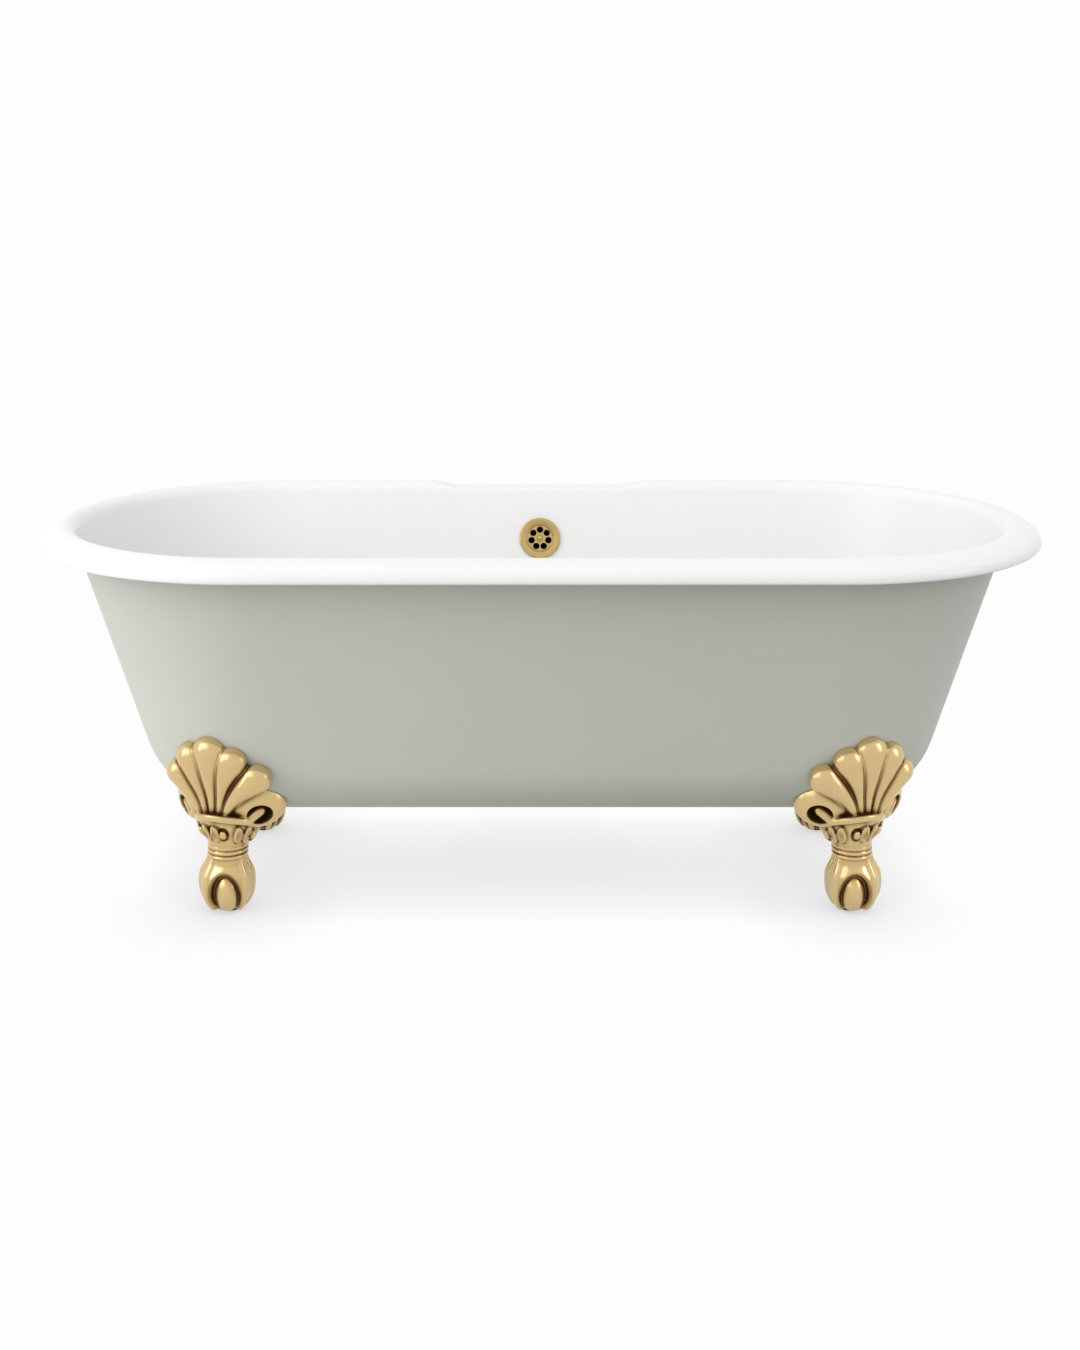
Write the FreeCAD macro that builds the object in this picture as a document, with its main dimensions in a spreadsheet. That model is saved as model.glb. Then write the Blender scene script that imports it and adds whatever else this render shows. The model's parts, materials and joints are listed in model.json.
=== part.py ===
import FreeCAD, Part
import math
import operator
import os
from types import SimpleNamespace

import Sketcher

# A double-ended roll top bath on four claw feet.
# Origin on the floor under the middle of the tub, +X along the tub, +Y to the tap ledge, +Z up.
Vector = FreeCAD.Vector
doc = FreeCAD.newDocument("roll_top_bath")

# Driving sizes, in millimetres and degrees
SIZES = {
    # tub
    "bath_length": 1700,
    "bath_width": 770,
    "rim_height": 648,
    "base_height": 156,
    "wall": 8,
    "floor_half": 89.2,
    "base_corner": 144,
    "rim_roll": 24,
    "rim_overhang": 42,
    "rim_drop": 28,
    "rim_nose": 18,
    "lip_depth": 5,
    "ledge_half": 155,
    "ledge_ramp": 49,
    "ledge_drop": 15,
    "ledge_thickness": 12,
    # feet
    "foot_turn": 20,
    "foot_outset": 109.8,
    "seat_gap": 0.3,
    "sole_radius": 17,
    "claw_radius": 40,
    "claw_middle": 52,
    "neck_radius": 29,
    "neck_height": 97,
    "ring_pitch": 8.3,
    "collar_radius": 50,
    "collar_height": 161,
    "toe_radius": 9.5,
    "toe_turn": -14,
    "foot_gap": 0.5,
    "shell_top": 324,
    "shell_step": 11,
    "lobe_radius": 29,
    "volute_radius": 15,
    "volute_reach": 34,
    "tongue_width": 34,
    "tongue_thickness": 12,
    # foot fixings
    "boss_radius": 17,
    "boss_drop": 10,
    "bolt_inset": 18,
    "bolt_radius": 6,
    "bolt_head": 8,
    "bolt_hex": 11,
    "washer_radius": 14,
    "washer_thickness": 2.5,
    "thread_fit": 0.05,
    # levelling feet
    "pad_radius": 18,
    "pad_height": 3,
    "screw_radius": 6,
    "screw_length": 42,
    "screw_travel": 10.5,
    # overflow
    "overflow_drop": 103,
    "overflow_radius": 38.5,
    "overflow_plate": 6,
    "overflow_holes_on": 16.4,
    "overflow_hole": 6.2,
    "overflow_bore": 20,
    "overflow_screw_radius": 3,
    "overflow_screw_head": 5.9,
    "gasket": 3,
    "elbow_flange": 34,
    "elbow_depth": 37,
    "pipe_radius": 12.5,
    "pipe_wall": 1.5,
    "pipe_bend": 45,
    "pipe_grip": 20,
    "casting": 3,
    "nut_height": 12,
    "nut_hex": 21,
    # waste
    "waste_margin": 4.2,
    "waste_flange_radius": 35,
    "waste_flange_height": 3.5,
    "waste_shank": 22,
    "waste_shank_length": 25,
    "waste_seal": 2,
    "barrel_radius": 28,
    "barrel_length": 38,
    "branch_drop": 25,
    "branch_reach": 62,
    "outlet_radius": 23.9,
    "outlet_length": 12,
    # plug
    "plug_radius": 31,
    "plug_height": 5,
    "stem_radius": 4.9,
    "sleeve_wall": 4,
    "hub_height": 8,
    "spring_wire": 0.8,
    "spring_height": 12,
}

sheet = doc.addObject("Spreadsheet::Sheet", "Sizes")
for row, (alias, number) in enumerate(SIZES.items(), start=1):
    sheet.set(f"A{row}", str(number))
    sheet.setAlias(f"A{row}", alias)
doc.recompute()


class Size:
    """A number together with the sheet expression that keeps it current."""

    SIGNS = {"+": operator.add, "-": operator.sub, "*": operator.mul, "/": operator.truediv}

    def __init__(self, value, text):
        self.value = value
        self.text = text

    @staticmethod
    def of(amount):
        return amount if isinstance(amount, Size) else Size(amount, str(amount))

    @classmethod
    def join(cls, left, sign, right):
        left, right = cls.of(left), cls.of(right)
        return cls(cls.SIGNS[sign](left.value, right.value), f"({left.text} {sign} {right.text})")

    def __add__(self, other):
        return Size.join(self, "+", other)

    def __radd__(self, other):
        return Size.join(other, "+", self)

    def __sub__(self, other):
        return Size.join(self, "-", other)

    def __rsub__(self, other):
        return Size.join(other, "-", self)

    def __mul__(self, other):
        return Size.join(self, "*", other)

    def __rmul__(self, other):
        return Size.join(other, "*", self)

    def __truediv__(self, other):
        return Size.join(self, "/", other)

    def __neg__(self):
        return Size.join(0, "-", self)


def sine(angle):
    return Size(math.sin(math.radians(angle.value)), f"sin({angle.text})")


def cosine(angle):
    return Size(math.cos(math.radians(angle.value)), f"cos({angle.text})")


def root(amount):
    return Size(math.sqrt(amount.value), f"sqrt({amount.text})")


def angle_of(rise, run):
    return Size(math.degrees(math.atan2(rise.value, run.value)), f"atan2({rise.text}; {run.text})")


def arc_cosine(share):
    return Size(math.degrees(math.acos(share.value)), f"acos({share.text})")


size = SimpleNamespace(**{alias: Size(float(sheet.get(alias)), f"Sizes.{alias}") for alias in SIZES})


# Drawing helpers

def bind(item, name, amount):
    """Tie one property of a document object to a size."""
    item.setExpression(name, Size.of(amount).text)


def place(item, x=0, y=0, z=0, axis=None, angle=0):
    """Tie an object's position, and its turn about an axis, to sizes."""
    if axis is not None:
        item.Placement = FreeCAD.Placement(Vector(), FreeCAD.Rotation(axis, Size.of(angle).value))
        bind(item, "Placement.Rotation.Angle", angle)
    for name, amount in zip("xyz", (x, y, z)):
        bind(item, f"Placement.Base.{name}", amount)
    return item


class Outline:
    """A closed outline: a start point, then lines and arcs whose ends are sizes."""

    def __init__(self, x, y):
        self.points = [(Size.of(x), Size.of(y))]
        self.arcs = []

    def line(self, x, y):
        self.points.append((Size.of(x), Size.of(y)))
        self.arcs.append(None)
        return self

    def arc(self, x, y, radius, left=True):
        """An arc under a half circle that turns left, or right, on its way to x, y."""
        self.points.append((Size.of(x), Size.of(y)))
        self.arcs.append((Size.of(radius), left))
        return self

    def close(self):
        return self.line(*self.points[0])


def arc_between(start, end, radius, left):
    """The counter-clockwise sketch arc that joins two points."""
    chord = end - start
    across = Vector(-chord.y, chord.x, 0).normalize() * (1 if left else -1)
    centre = (start + end) * 0.5 + across * math.sqrt(max(radius ** 2 - chord.Length ** 2 / 4, 0))
    first, last = (start, end) if left else (end, start)
    angles = [math.atan2(point.y - centre.y, point.x - centre.x) for point in (first, last)]
    return Part.ArcOfCircle(Part.Circle(centre, Vector(0, 0, 1), radius), *angles)


def draw(sketch, outline):
    """Draw a closed outline, with every corner and radius tied to the sheet."""
    corners = [Vector(x.value, y.value, 0) for x, y in outline.points]
    constraints = []
    amounts = []
    ends = []
    for index, arc in enumerate(outline.arcs):
        start, end = corners[index], corners[index + 1]
        if arc is None:
            sketch.addGeometry(Part.LineSegment(start, end), False)
            ends.append((1, 2))
            continue
        radius, left = arc
        sketch.addGeometry(arc_between(start, end, radius.value, left), False)
        ends.append((1, 2) if left else (2, 1))
        constraints.append(Sketcher.Constraint("Radius", index, radius.value))
        amounts.append(radius)
    for index, (_, last) in enumerate(ends):
        following = (index + 1) % len(ends)
        constraints.append(Sketcher.Constraint("Coincident", index, last, following, ends[following][0]))
        amounts.append(None)
        for kind, axis, amount in zip(("DistanceX", "DistanceY"), (-2, -1), outline.points[index + 1]):
            if amount.text == "0":
                constraints.append(Sketcher.Constraint("PointOnObject", index, last, axis))
                amounts.append(None)
            else:
                constraints.append(Sketcher.Constraint(kind, -1, 1, index, last, amount.value))
                amounts.append(amount)
    sketch.addConstraint(constraints)
    for index, amount in enumerate(amounts):
        if amount is not None:
            bind(sketch, f"Constraints[{index}]", amount)


def new_sketch(body, plane, outline, name):
    """A sketch on one of a body's own origin planes."""
    sketch = body.newObject("Sketcher::SketchObject", name)
    origin = [item for item in body.Origin.OriginFeatures if item.Role == plane]
    sketch.AttachmentSupport = [(origin[0], "")]
    sketch.MapMode = "FlatFace"
    draw(sketch, outline)
    return sketch


def turned(name, outline, angle=360):
    """A body turned about its own Z axis from an outline of radius and height."""
    body = doc.addObject("PartDesign::Body", name)
    sketch = new_sketch(body, "XZ_Plane", outline, name + "_outline")
    turn = body.newObject("PartDesign::Revolution", name + "_turn")
    turn.Profile = sketch
    turn.ReferenceAxis = (sketch, ["V_Axis"])
    turn.Angle = angle
    turn.Midplane = True
    return body


def padded(name, plane, outline, length):
    """A body padded evenly to both sides of one of its origin planes."""
    body = doc.addObject("PartDesign::Body", name)
    pad = body.newObject("PartDesign::Pad", name + "_pad")
    pad.Profile = new_sketch(body, plane, outline, name + "_outline")
    pad.SideType = "Symmetric"
    bind(pad, "Length", length)
    return body


def rod(name, radius, height, **where):
    """A plain cylinder on its own Z axis."""
    item = doc.addObject("Part::Cylinder", name)
    bind(item, "Radius", radius)
    bind(item, "Height", height)
    return place(item, **where)


def block(name, length, width, height, **where):
    item = doc.addObject("Part::Box", name)
    for prop, amount in (("Length", length), ("Width", width), ("Height", height)):
        bind(item, prop, amount)
    return place(item, **where)


def ring(name, inner, outer, low, high):
    """A flat ring between two radii and two heights."""
    return turned(name, Outline(inner, low).line(outer, low).line(outer, high).line(inner, high).close())


def hexagon(name, hex_radius, bore, height):
    """A hexagon nut that stands on its own XY plane."""
    prism = doc.addObject("Part::Prism", name + "_prism")
    prism.Polygon = 6
    bind(prism, "Circumradius", hex_radius)
    bind(prism, "Height", height)
    return cut(name, prism, rod(name + "_bore", bore, height))


def join(name, *items):
    fused = doc.addObject("Part::MultiFuse", name)
    fused.Shapes = list(items)
    fused.Refine = True
    return fused


def cut(name, base, tool):
    item = doc.addObject("Part::Cut", name)
    item.Base = base
    item.Tool = tool
    return item


def overlap(name, base, tool):
    item = doc.addObject("Part::Common", name)
    item.Base = base
    item.Tool = tool
    return item


def mirrored(name, source, normal):
    item = doc.addObject("Part::Mirroring", name)
    item.Source = source
    item.Normal = normal
    return item


def group(name, *items):
    """One piece made of several separate solids."""
    item = doc.addObject("Part::Compound", name)
    item.Links = list(items)
    return item


AXIS_X = Vector(1, 0, 0)
AXIS_Y = Vector(0, 1, 0)
AXIS_Z = Vector(0, 0, 1)
pieces = {}

# Tub section, as distance out from the centre line and height
straight = size.bath_length - size.bath_width
end_centre = straight / 2
crest = size.bath_width / 2 - size.rim_overhang
roll_height = size.rim_height - size.rim_roll
corner_height = size.base_height + size.base_corner
outer_roll = size.rim_roll - size.wall
inner_corner = size.base_corner - size.wall
floor_top = size.base_height + size.wall

# The wall leans so that it runs smoothly from the base corner into the roll
corner_to_roll_out = crest - size.floor_half
corner_to_roll_up = roll_height - corner_height
corner_to_roll = root(corner_to_roll_out * corner_to_roll_out + corner_to_roll_up * corner_to_roll_up)
wall_lean = (arc_cosine((size.base_corner + outer_roll) / corner_to_roll)
             - angle_of(corner_to_roll_up, corner_to_roll_out))
lean_cos = cosine(wall_lean)
lean_sin = sine(wall_lean)
foot_reach = size.floor_half + size.foot_outset
waste_y = size.floor_half - size.waste_flange_radius - size.waste_margin

# The rim's outer oval: a broad arc from the crest that runs into the nose arc
oval_run = size.rim_overhang - size.rim_nose
broad = (oval_run * oval_run + size.rim_drop * size.rim_drop - size.rim_nose * size.rim_nose) / (
    2 * (size.rim_drop - size.rim_nose))
oval_cos = oval_run / (broad - size.rim_nose)
oval_sin = (broad - size.rim_drop) / (broad - size.rim_nose)
oval_base = size.rim_height - size.rim_drop
lip_base = oval_base - size.lip_depth


def on_roll(radius):
    """Where a circle about the roll's centre meets the leaning wall."""
    return crest - radius * lean_cos, roll_height + radius * lean_sin


def on_corner(radius):
    """Where a circle about the base corner's centre meets the leaning wall."""
    return size.floor_half + radius * lean_cos, corner_height - radius * lean_sin


def on_oval(inset):
    """Where the broad and nose arcs meet, a given depth under the rim's surface."""
    reach = broad - inset
    return crest + reach * oval_cos, size.rim_height - broad + reach * oval_sin


def tub_section():
    """Half of the tub's section: floor, leaning wall and rolled rim."""
    nose = size.bath_width / 2
    thin_nose = size.rim_nose - size.wall
    return (Outline(0, size.base_height)
            .line(size.floor_half, size.base_height)
            .arc(*on_corner(size.base_corner), size.base_corner)
            .line(*on_roll(outer_roll))
            .arc(crest, size.rim_height - size.wall, outer_roll, left=False)
            .arc(*on_oval(size.wall), broad - size.wall, left=False)
            .arc(nose - size.wall, oval_base, thin_nose, left=False)
            .line(nose - size.wall, lip_base)
            .line(nose, lip_base)
            .line(nose, oval_base)
            .arc(*on_oval(0), size.rim_nose)
            .arc(crest, size.rim_height, broad)
            .arc(*on_roll(size.rim_roll), size.rim_roll)
            .line(*on_corner(inner_corner))
            .arc(size.floor_half, floor_top, inner_corner, left=False)
            .line(0, floor_top)
            .close())


def plain_shell():
    """The tub before any opening: a trough between two half-round ends."""
    trough = padded("trough", "YZ_Plane", tub_section(), straight)
    bowl = place(turned("bowl", tub_section(), angle=180), x=end_centre)
    return join("plain_shell", trough, mirrored("trough_front", trough, AXIS_Y),
                bowl, mirrored("bowl_left", bowl, AXIS_X))


def ledge_line(outline, drop, sides):
    """Continue an outline along the ledge's dipped top, from one side to the other."""
    start, end = sides
    reach = size.ledge_half + size.ledge_ramp
    middle = size.ledge_half + size.ledge_ramp / 2
    ramp = (size.ledge_ramp * size.ledge_ramp + size.ledge_drop * size.ledge_drop) / (4 * size.ledge_drop)
    high = size.rim_height - drop
    low = high - size.ledge_drop
    half = high - size.ledge_drop / 2
    rightward = end > start
    outline.arc(start * middle, half, ramp, left=not rightward)
    outline.arc(start * size.ledge_half, low, ramp, left=rightward)
    outline.line(end * size.ledge_half, low)
    outline.arc(end * middle, half, ramp, left=rightward)
    return outline.arc(end * reach, high, ramp, left=not rightward)


def tap_ledge():
    """A level deck that fills the back rim, and the notch that drops the rim to it."""
    reach = size.ledge_half + size.ledge_ramp
    skin = size.wall / 16
    inside = outer_roll + size.wall / 2
    roll = size.rim_roll - skin
    filled = (Outline(crest - inside, oval_base)
              .line(size.bath_width / 2 - skin, oval_base)
              .arc(*on_oval(skin), size.rim_nose - skin)
              .arc(crest, size.rim_height - skin, broad - skin)
              .arc(crest - inside, roll_height + root(roll * roll - inside * inside), roll)
              .close())
    rim_fill = padded("rim_fill", "YZ_Plane", filled, 2 * reach)
    strip = Outline(-reach, size.rim_height)
    strip = ledge_line(strip, 0, (-1, 1)).line(reach, size.rim_height - size.ledge_thickness)
    strip = ledge_line(strip, size.ledge_thickness, (1, -1)).close()
    band = padded("ledge_band", "XZ_Plane", strip, size.bath_width)
    air = Outline(-reach, size.rim_height)
    air = ledge_line(air, 0, (-1, 1)).line(reach, size.rim_height + size.wall)
    air = air.line(-reach, size.rim_height + size.wall).close()
    notch = place(padded("ledge_notch", "XZ_Plane", air, size.bath_width / 2), y=crest)
    return overlap("ledge", rim_fill, band), notch


# Foot bolts stand on the flat underside, in line with their feet
bolt_reach = size.floor_half + size.bolt_inset
bolt_x = end_centre + bolt_reach * sine(size.foot_turn)
bolt_y = bolt_reach * cosine(size.foot_turn)
boss_base = size.base_height - size.boss_drop
tongue_base = boss_base - size.tongue_thickness
CORNERS = {"front_left": (-1, -1), "front_right": (1, -1), "rear_left": (-1, 1), "rear_right": (1, 1)}

# The overflow's own axis is square to the back wall, through its inner face
overflow_z = size.rim_height - size.overflow_drop
overflow_y = (crest + (overflow_z - roll_height) * lean_sin / lean_cos - size.rim_roll / lean_cos)


def on_back_wall(item):
    """Stand a piece on the back wall's inner face, with its Z axis into the tub."""
    upright = Size(90, "90 deg")
    return place(item, y=overflow_y, z=overflow_z, axis=AXIS_X, angle=upright - wall_lean)


def tub_shell():
    ledge, notch = tap_ledge()
    rimmed = join("rimmed_shell", cut("notched_shell", plain_shell(), notch), ledge)
    bosses = []
    holes = []
    for corner, (side, depth) in CORNERS.items():
        spot = {"x": side * bolt_x, "y": depth * bolt_y, "z": boss_base}
        height = size.boss_drop + size.wall * 0.7
        bosses.append(rod(f"boss_{corner}", size.boss_radius, height, **spot))
        depth_of_hole = size.boss_drop + size.wall * 0.25
        holes.append(rod(f"tapping_{corner}", size.bolt_radius + size.thread_fit, depth_of_hole, **spot))
    waste_hole = rod("waste_hole", size.waste_shank + size.waste_seal, 2 * size.wall,
                     y=waste_y, z=size.base_height - size.wall / 2)
    overflow_hole = on_back_wall(turned("overflow_hole", Outline(0, -2 * size.wall)
                                        .line(size.overflow_bore, -2 * size.wall)
                                        .line(size.overflow_bore, size.wall)
                                        .line(0, size.wall).close()))
    solid = join("bossed_shell", rimmed, *bosses)
    return cut("tub_shell", solid, join("shell_holes", waste_hole, overflow_hole, *holes))


pieces["tub_shell"] = tub_shell()

# Feet are drawn about the centre of the tub's round end: X out through the foot, Z up
sole = size.pad_height + size.seat_gap
collar_band = size.collar_height + size.ring_pitch


def tub_envelope():
    """The tub's end and straight side with the feet's gap added, to shape the backs of the feet."""
    top = size.shell_top + size.lobe_radius
    low = size.base_height - size.foot_gap
    corner = size.base_corner + size.foot_gap
    rise = top - roll_height
    wall_top = crest + rise * lean_sin / lean_cos - (outer_roll - size.foot_gap) / lean_cos
    outline = (Outline(0, low).line(size.floor_half, low)
               .arc(*on_corner(corner), corner).line(wall_top, top).line(0, top).close())
    side = place(padded("envelope_side", "YZ_Plane", outline, straight),
                 x=-end_centre * sine(size.foot_turn), y=end_centre * cosine(size.foot_turn),
                 axis=-AXIS_Z, angle=90 - size.foot_turn)
    return join("tub_envelope", turned("envelope_end", outline), side)


def foot_core():
    """Ball, ringed neck and flared collar, turned about the foot's upright axis."""
    ring_top = size.neck_height + 3 * size.ring_pitch
    claw = Outline(0, sole).line(size.sole_radius, sole)
    claw.arc(size.claw_radius, size.claw_middle, 1.3 * size.claw_radius)
    claw.arc(size.neck_radius, size.neck_height, 1.5 * size.claw_radius)
    for ring_number in (1, 2, 3):
        claw.arc(size.neck_radius, size.neck_height + ring_number * size.ring_pitch, 0.6 * size.ring_pitch)
    flare = size.collar_height - ring_top + size.ring_pitch
    claw.arc(size.collar_radius, size.collar_height, flare, left=False)
    claw.line(size.collar_radius, collar_band).line(0, collar_band + size.ring_pitch).close()
    return place(turned("foot_core", claw), x=foot_reach)


def capsule(start, end, small, large):
    """A lobe: two round ends of different size with a cone drawn tight between them."""
    along = end - start
    sink = (large - small) / along.Length
    rise = math.sqrt(1 - sink ** 2)
    out = Vector(along)
    out.normalize()
    side = out.cross(AXIS_Z)
    side.normalize()

    def point(centre, radius, forward, sideways):
        return centre + out * (radius * forward) + side * (radius * sideways)

    middle = math.sqrt((1 + sink) / 2), math.sqrt((1 - sink) / 2)
    first = Part.Arc(point(start, small, -1, 0), point(start, small, -middle[0], middle[1]),
                     point(start, small, -sink, rise))
    last = Part.Arc(point(end, large, -sink, rise), point(end, large, middle[1], middle[0]),
                    point(end, large, 1, 0))
    edges = [first.toShape(), Part.makeLine(first.EndPoint, last.StartPoint), last.toShape(),
             Part.makeLine(last.EndPoint, first.StartPoint)]
    return Part.Face(Part.Wire(edges)).revolve(start, out, 360)


def wall_reach(height):
    """How far out the tub's outer face stands at a height on a foot's shell."""
    rise = corner_height.value - height
    if rise < size.base_corner.value * lean_sin.value:
        lean = lean_sin.value / lean_cos.value
        return crest.value + (height - roll_height.value) * lean - outer_roll.value / lean_cos.value
    return size.floor_half.value + math.sqrt(size.base_corner.value ** 2 - rise ** 2)


def shell_lobes():
    """Five lobes that fan from the collar up the tub's flank, the middle one largest."""
    top = size.shell_top.value
    root_z = collar_band.value - size.ring_pitch.value
    lobes = []
    for place_in_fan in (-2, -1, 0, 1, 2):
        radius = size.lobe_radius.value * (1 - 0.1 * abs(place_in_fan))
        climb = top - collar_band.value
        height = collar_band.value + climb * (1 - 0.1 * place_in_fan ** 2) - radius
        turn = math.radians(size.shell_step.value * place_in_fan)
        out = wall_reach(height) - radius * 0.4
        tip = Vector(out * math.cos(turn), out * math.sin(turn), height)
        base = Vector(foot_reach.value + radius * 0.8, place_in_fan * radius * 0.5, root_z)
        lobes.append(capsule(base, tip, radius * 0.45, radius))
    return lobes


def volutes():
    """A rounded scroll beside each end of the fan."""
    radius = size.volute_radius.value
    scrolls = []
    for side in (-1, 1):
        root = Vector(foot_reach.value, side * (size.collar_radius.value - radius), collar_band.value)
        tip = root + Vector(0, side * size.volute_reach.value, radius)
        scrolls.append(capsule(root, tip, radius * 0.8, radius))
    return scrolls


def toes():
    """Four toes that grip the ball from the neck down."""
    bend = size.claw_radius.value - size.toe_radius.value * 0.5
    hub = Vector(foot_reach.value, 0, size.claw_middle.value)
    swing_low, swing_high = -52, 62
    grips = []
    for number in range(4):
        turn = math.radians(size.toe_turn.value + 90 * number)
        out = Vector(math.cos(turn), math.sin(turn), 0)
        across = Vector(-math.sin(turn), math.cos(turn), 0)
        low = math.radians(swing_low)
        spot = hub + out * (bend * math.cos(low)) + AXIS_Z * (bend * math.sin(low))
        heading = out * -math.sin(low) + AXIS_Z * math.cos(low)
        disc = Part.Face(Part.Wire(Part.makeCircle(size.toe_radius.value, spot, heading)))
        grips.append(disc.revolve(hub, across * -1, swing_high - swing_low))
    return grips


def foot_casting():
    """One foot: turned core, carved claw and shell, and the tongue under the tub."""
    carving = doc.addObject("Part::Feature", "foot_carving")
    forms = shell_lobes() + volutes() + toes()
    carving.Shape = forms[0].fuse(forms[1:])
    tongue_length = foot_reach - bolt_reach + size.boss_radius
    tongue = block("foot_tongue", tongue_length, size.tongue_width, size.tongue_thickness,
                   x=bolt_reach - size.boss_radius, y=-size.tongue_width / 2, z=tongue_base)
    solid = join("foot_solid", foot_core(), carving, tongue)
    bolt_hole = rod("foot_bolt_hole", size.bolt_radius + size.seat_gap, 3 * size.tongue_thickness,
                    x=bolt_reach, z=tongue_base - size.tongue_thickness)
    screw_hole = rod("foot_screw_hole", size.screw_radius + size.thread_fit,
                     size.screw_length + size.pad_height, x=foot_reach)
    return cut("foot_rear_right", solid, join("foot_cuts", tub_envelope(), bolt_hole, screw_hole))


rear_right = place(foot_casting(), x=end_centre, axis=AXIS_Z, angle=90 - size.foot_turn)
pieces["foot_rear_right"] = rear_right
pieces["foot_rear_left"] = mirrored("foot_rear_left", rear_right, AXIS_X)
pieces["foot_front_right"] = mirrored("foot_front_right", rear_right, AXIS_Y)
pieces["foot_front_left"] = mirrored("foot_front_left", pieces["foot_front_right"], AXIS_X)


def foot_fixings():
    """A bolt and a washer under each tongue."""
    head_base = tongue_base - size.washer_thickness - size.bolt_head
    shank_length = size.tongue_thickness + size.washer_thickness + size.boss_drop
    bolts = []
    washers = []
    for corner, (side, depth) in CORNERS.items():
        spot = {"x": side * bolt_x, "y": depth * bolt_y}
        head = doc.addObject("Part::Prism", f"bolt_head_{corner}")
        head.Polygon = 6
        bind(head, "Circumradius", size.bolt_hex)
        bind(head, "Height", size.bolt_head)
        place(head, z=head_base, **spot)
        shank = rod(f"bolt_shank_{corner}", size.bolt_radius, shank_length + size.bolt_head / 2,
                    z=head_base + size.bolt_head / 2, **spot)
        bolts.append(join(f"bolt_{corner}", head, shank))
        washers.append(place(ring(f"washer_{corner}", size.bolt_radius + size.seat_gap, size.washer_radius,
                                  0, size.washer_thickness), z=tongue_base - size.washer_thickness, **spot))
    return group("foot_bolts", *bolts), group("foot_washers", *washers)


pieces["foot_bolts"], pieces["foot_washers"] = foot_fixings()


def levelling_foot(corner, side, depth):
    """A pad on the floor and the screw that stands on it inside the ball."""
    spot = {"x": side * (end_centre + foot_reach * sine(size.foot_turn)),
            "y": depth * foot_reach * cosine(size.foot_turn)}
    edge = size.pad_height / 4
    pad = turned(f"glide_pad_{corner}", Outline(0, 0).line(size.pad_radius - edge, 0)
                 .line(size.pad_radius, edge).line(size.pad_radius, size.pad_height)
                 .line(0, size.pad_height).close())
    top = size.pad_height + size.screw_length - size.screw_travel
    lead = size.screw_radius / 4
    screw = turned(f"levelling_screw_{corner}", Outline(0, size.pad_height)
                   .line(size.screw_radius, size.pad_height).line(size.screw_radius, top - lead)
                   .line(size.screw_radius - lead, top).line(0, top).close())
    return place(pad, **spot), place(screw, **spot)


for corner, (side, depth) in CORNERS.items():
    pad, screw = levelling_foot(corner, side, depth)
    pieces[f"glide_pad_{corner}"] = pad
    pieces[f"levelling_screw_{corner}"] = screw

# Overflow, from the face inside the tub to the pipe behind it
face_floor = size.overflow_plate * 0.75
face_hollow = size.overflow_plate * 0.25
gasket_back = -size.wall - size.gasket
flange_back = gasket_back - size.casting
barrel_back = flange_back - size.elbow_depth
elbow_middle = flange_back - size.elbow_depth / 2
pipe_y = overflow_y - elbow_middle * lean_cos
pipe_top = overflow_z + elbow_middle * lean_sin
socket_radius = size.pipe_radius + size.thread_fit
socket_outer = socket_radius + size.casting
socket_base = pipe_top - size.overflow_bore - size.casting - size.pipe_grip
pipe_inner = size.pipe_radius - size.pipe_wall


def overflow_face():
    """A bevelled rose with a ring of round holes."""
    bevel = size.overflow_radius - size.overflow_plate
    rose = turned("overflow_rose", Outline(size.overflow_screw_radius + size.seat_gap, face_hollow)
                  .line(size.overflow_bore, face_hollow)
                  .line(size.overflow_bore, 0)
                  .line(size.overflow_radius, 0)
                  .line(size.overflow_radius, face_hollow)
                  .line(bevel, size.overflow_plate)
                  .line(bevel - size.overflow_plate, size.overflow_plate)
                  .line(bevel - size.overflow_plate, face_floor)
                  .line(size.overflow_screw_radius + size.seat_gap, face_floor)
                  .close())
    count = 7
    holes = []
    for number in range(count):
        turn = math.radians(90 + 360 * number / count)
        spot = {"x": size.overflow_holes_on * math.cos(turn), "y": size.overflow_holes_on * math.sin(turn)}
        holes.append(rod(f"overflow_hole_{number}", size.overflow_hole, size.overflow_plate, **spot))
    return cut("overflow_face", rose, join("overflow_holes", *holes))


def overflow_screw():
    """A domed screw that draws the face on to the elbow's post."""
    tip = flange_back - size.elbow_depth / 4
    head = size.overflow_screw_head
    dome = head / 2
    return turned("overflow_screw", Outline(0, tip).line(size.overflow_screw_radius, tip)
                  .line(size.overflow_screw_radius, face_floor).line(head, face_floor)
                  .arc(0, face_floor + dome, (head * head + dome * dome) / (2 * dome)).close())


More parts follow.
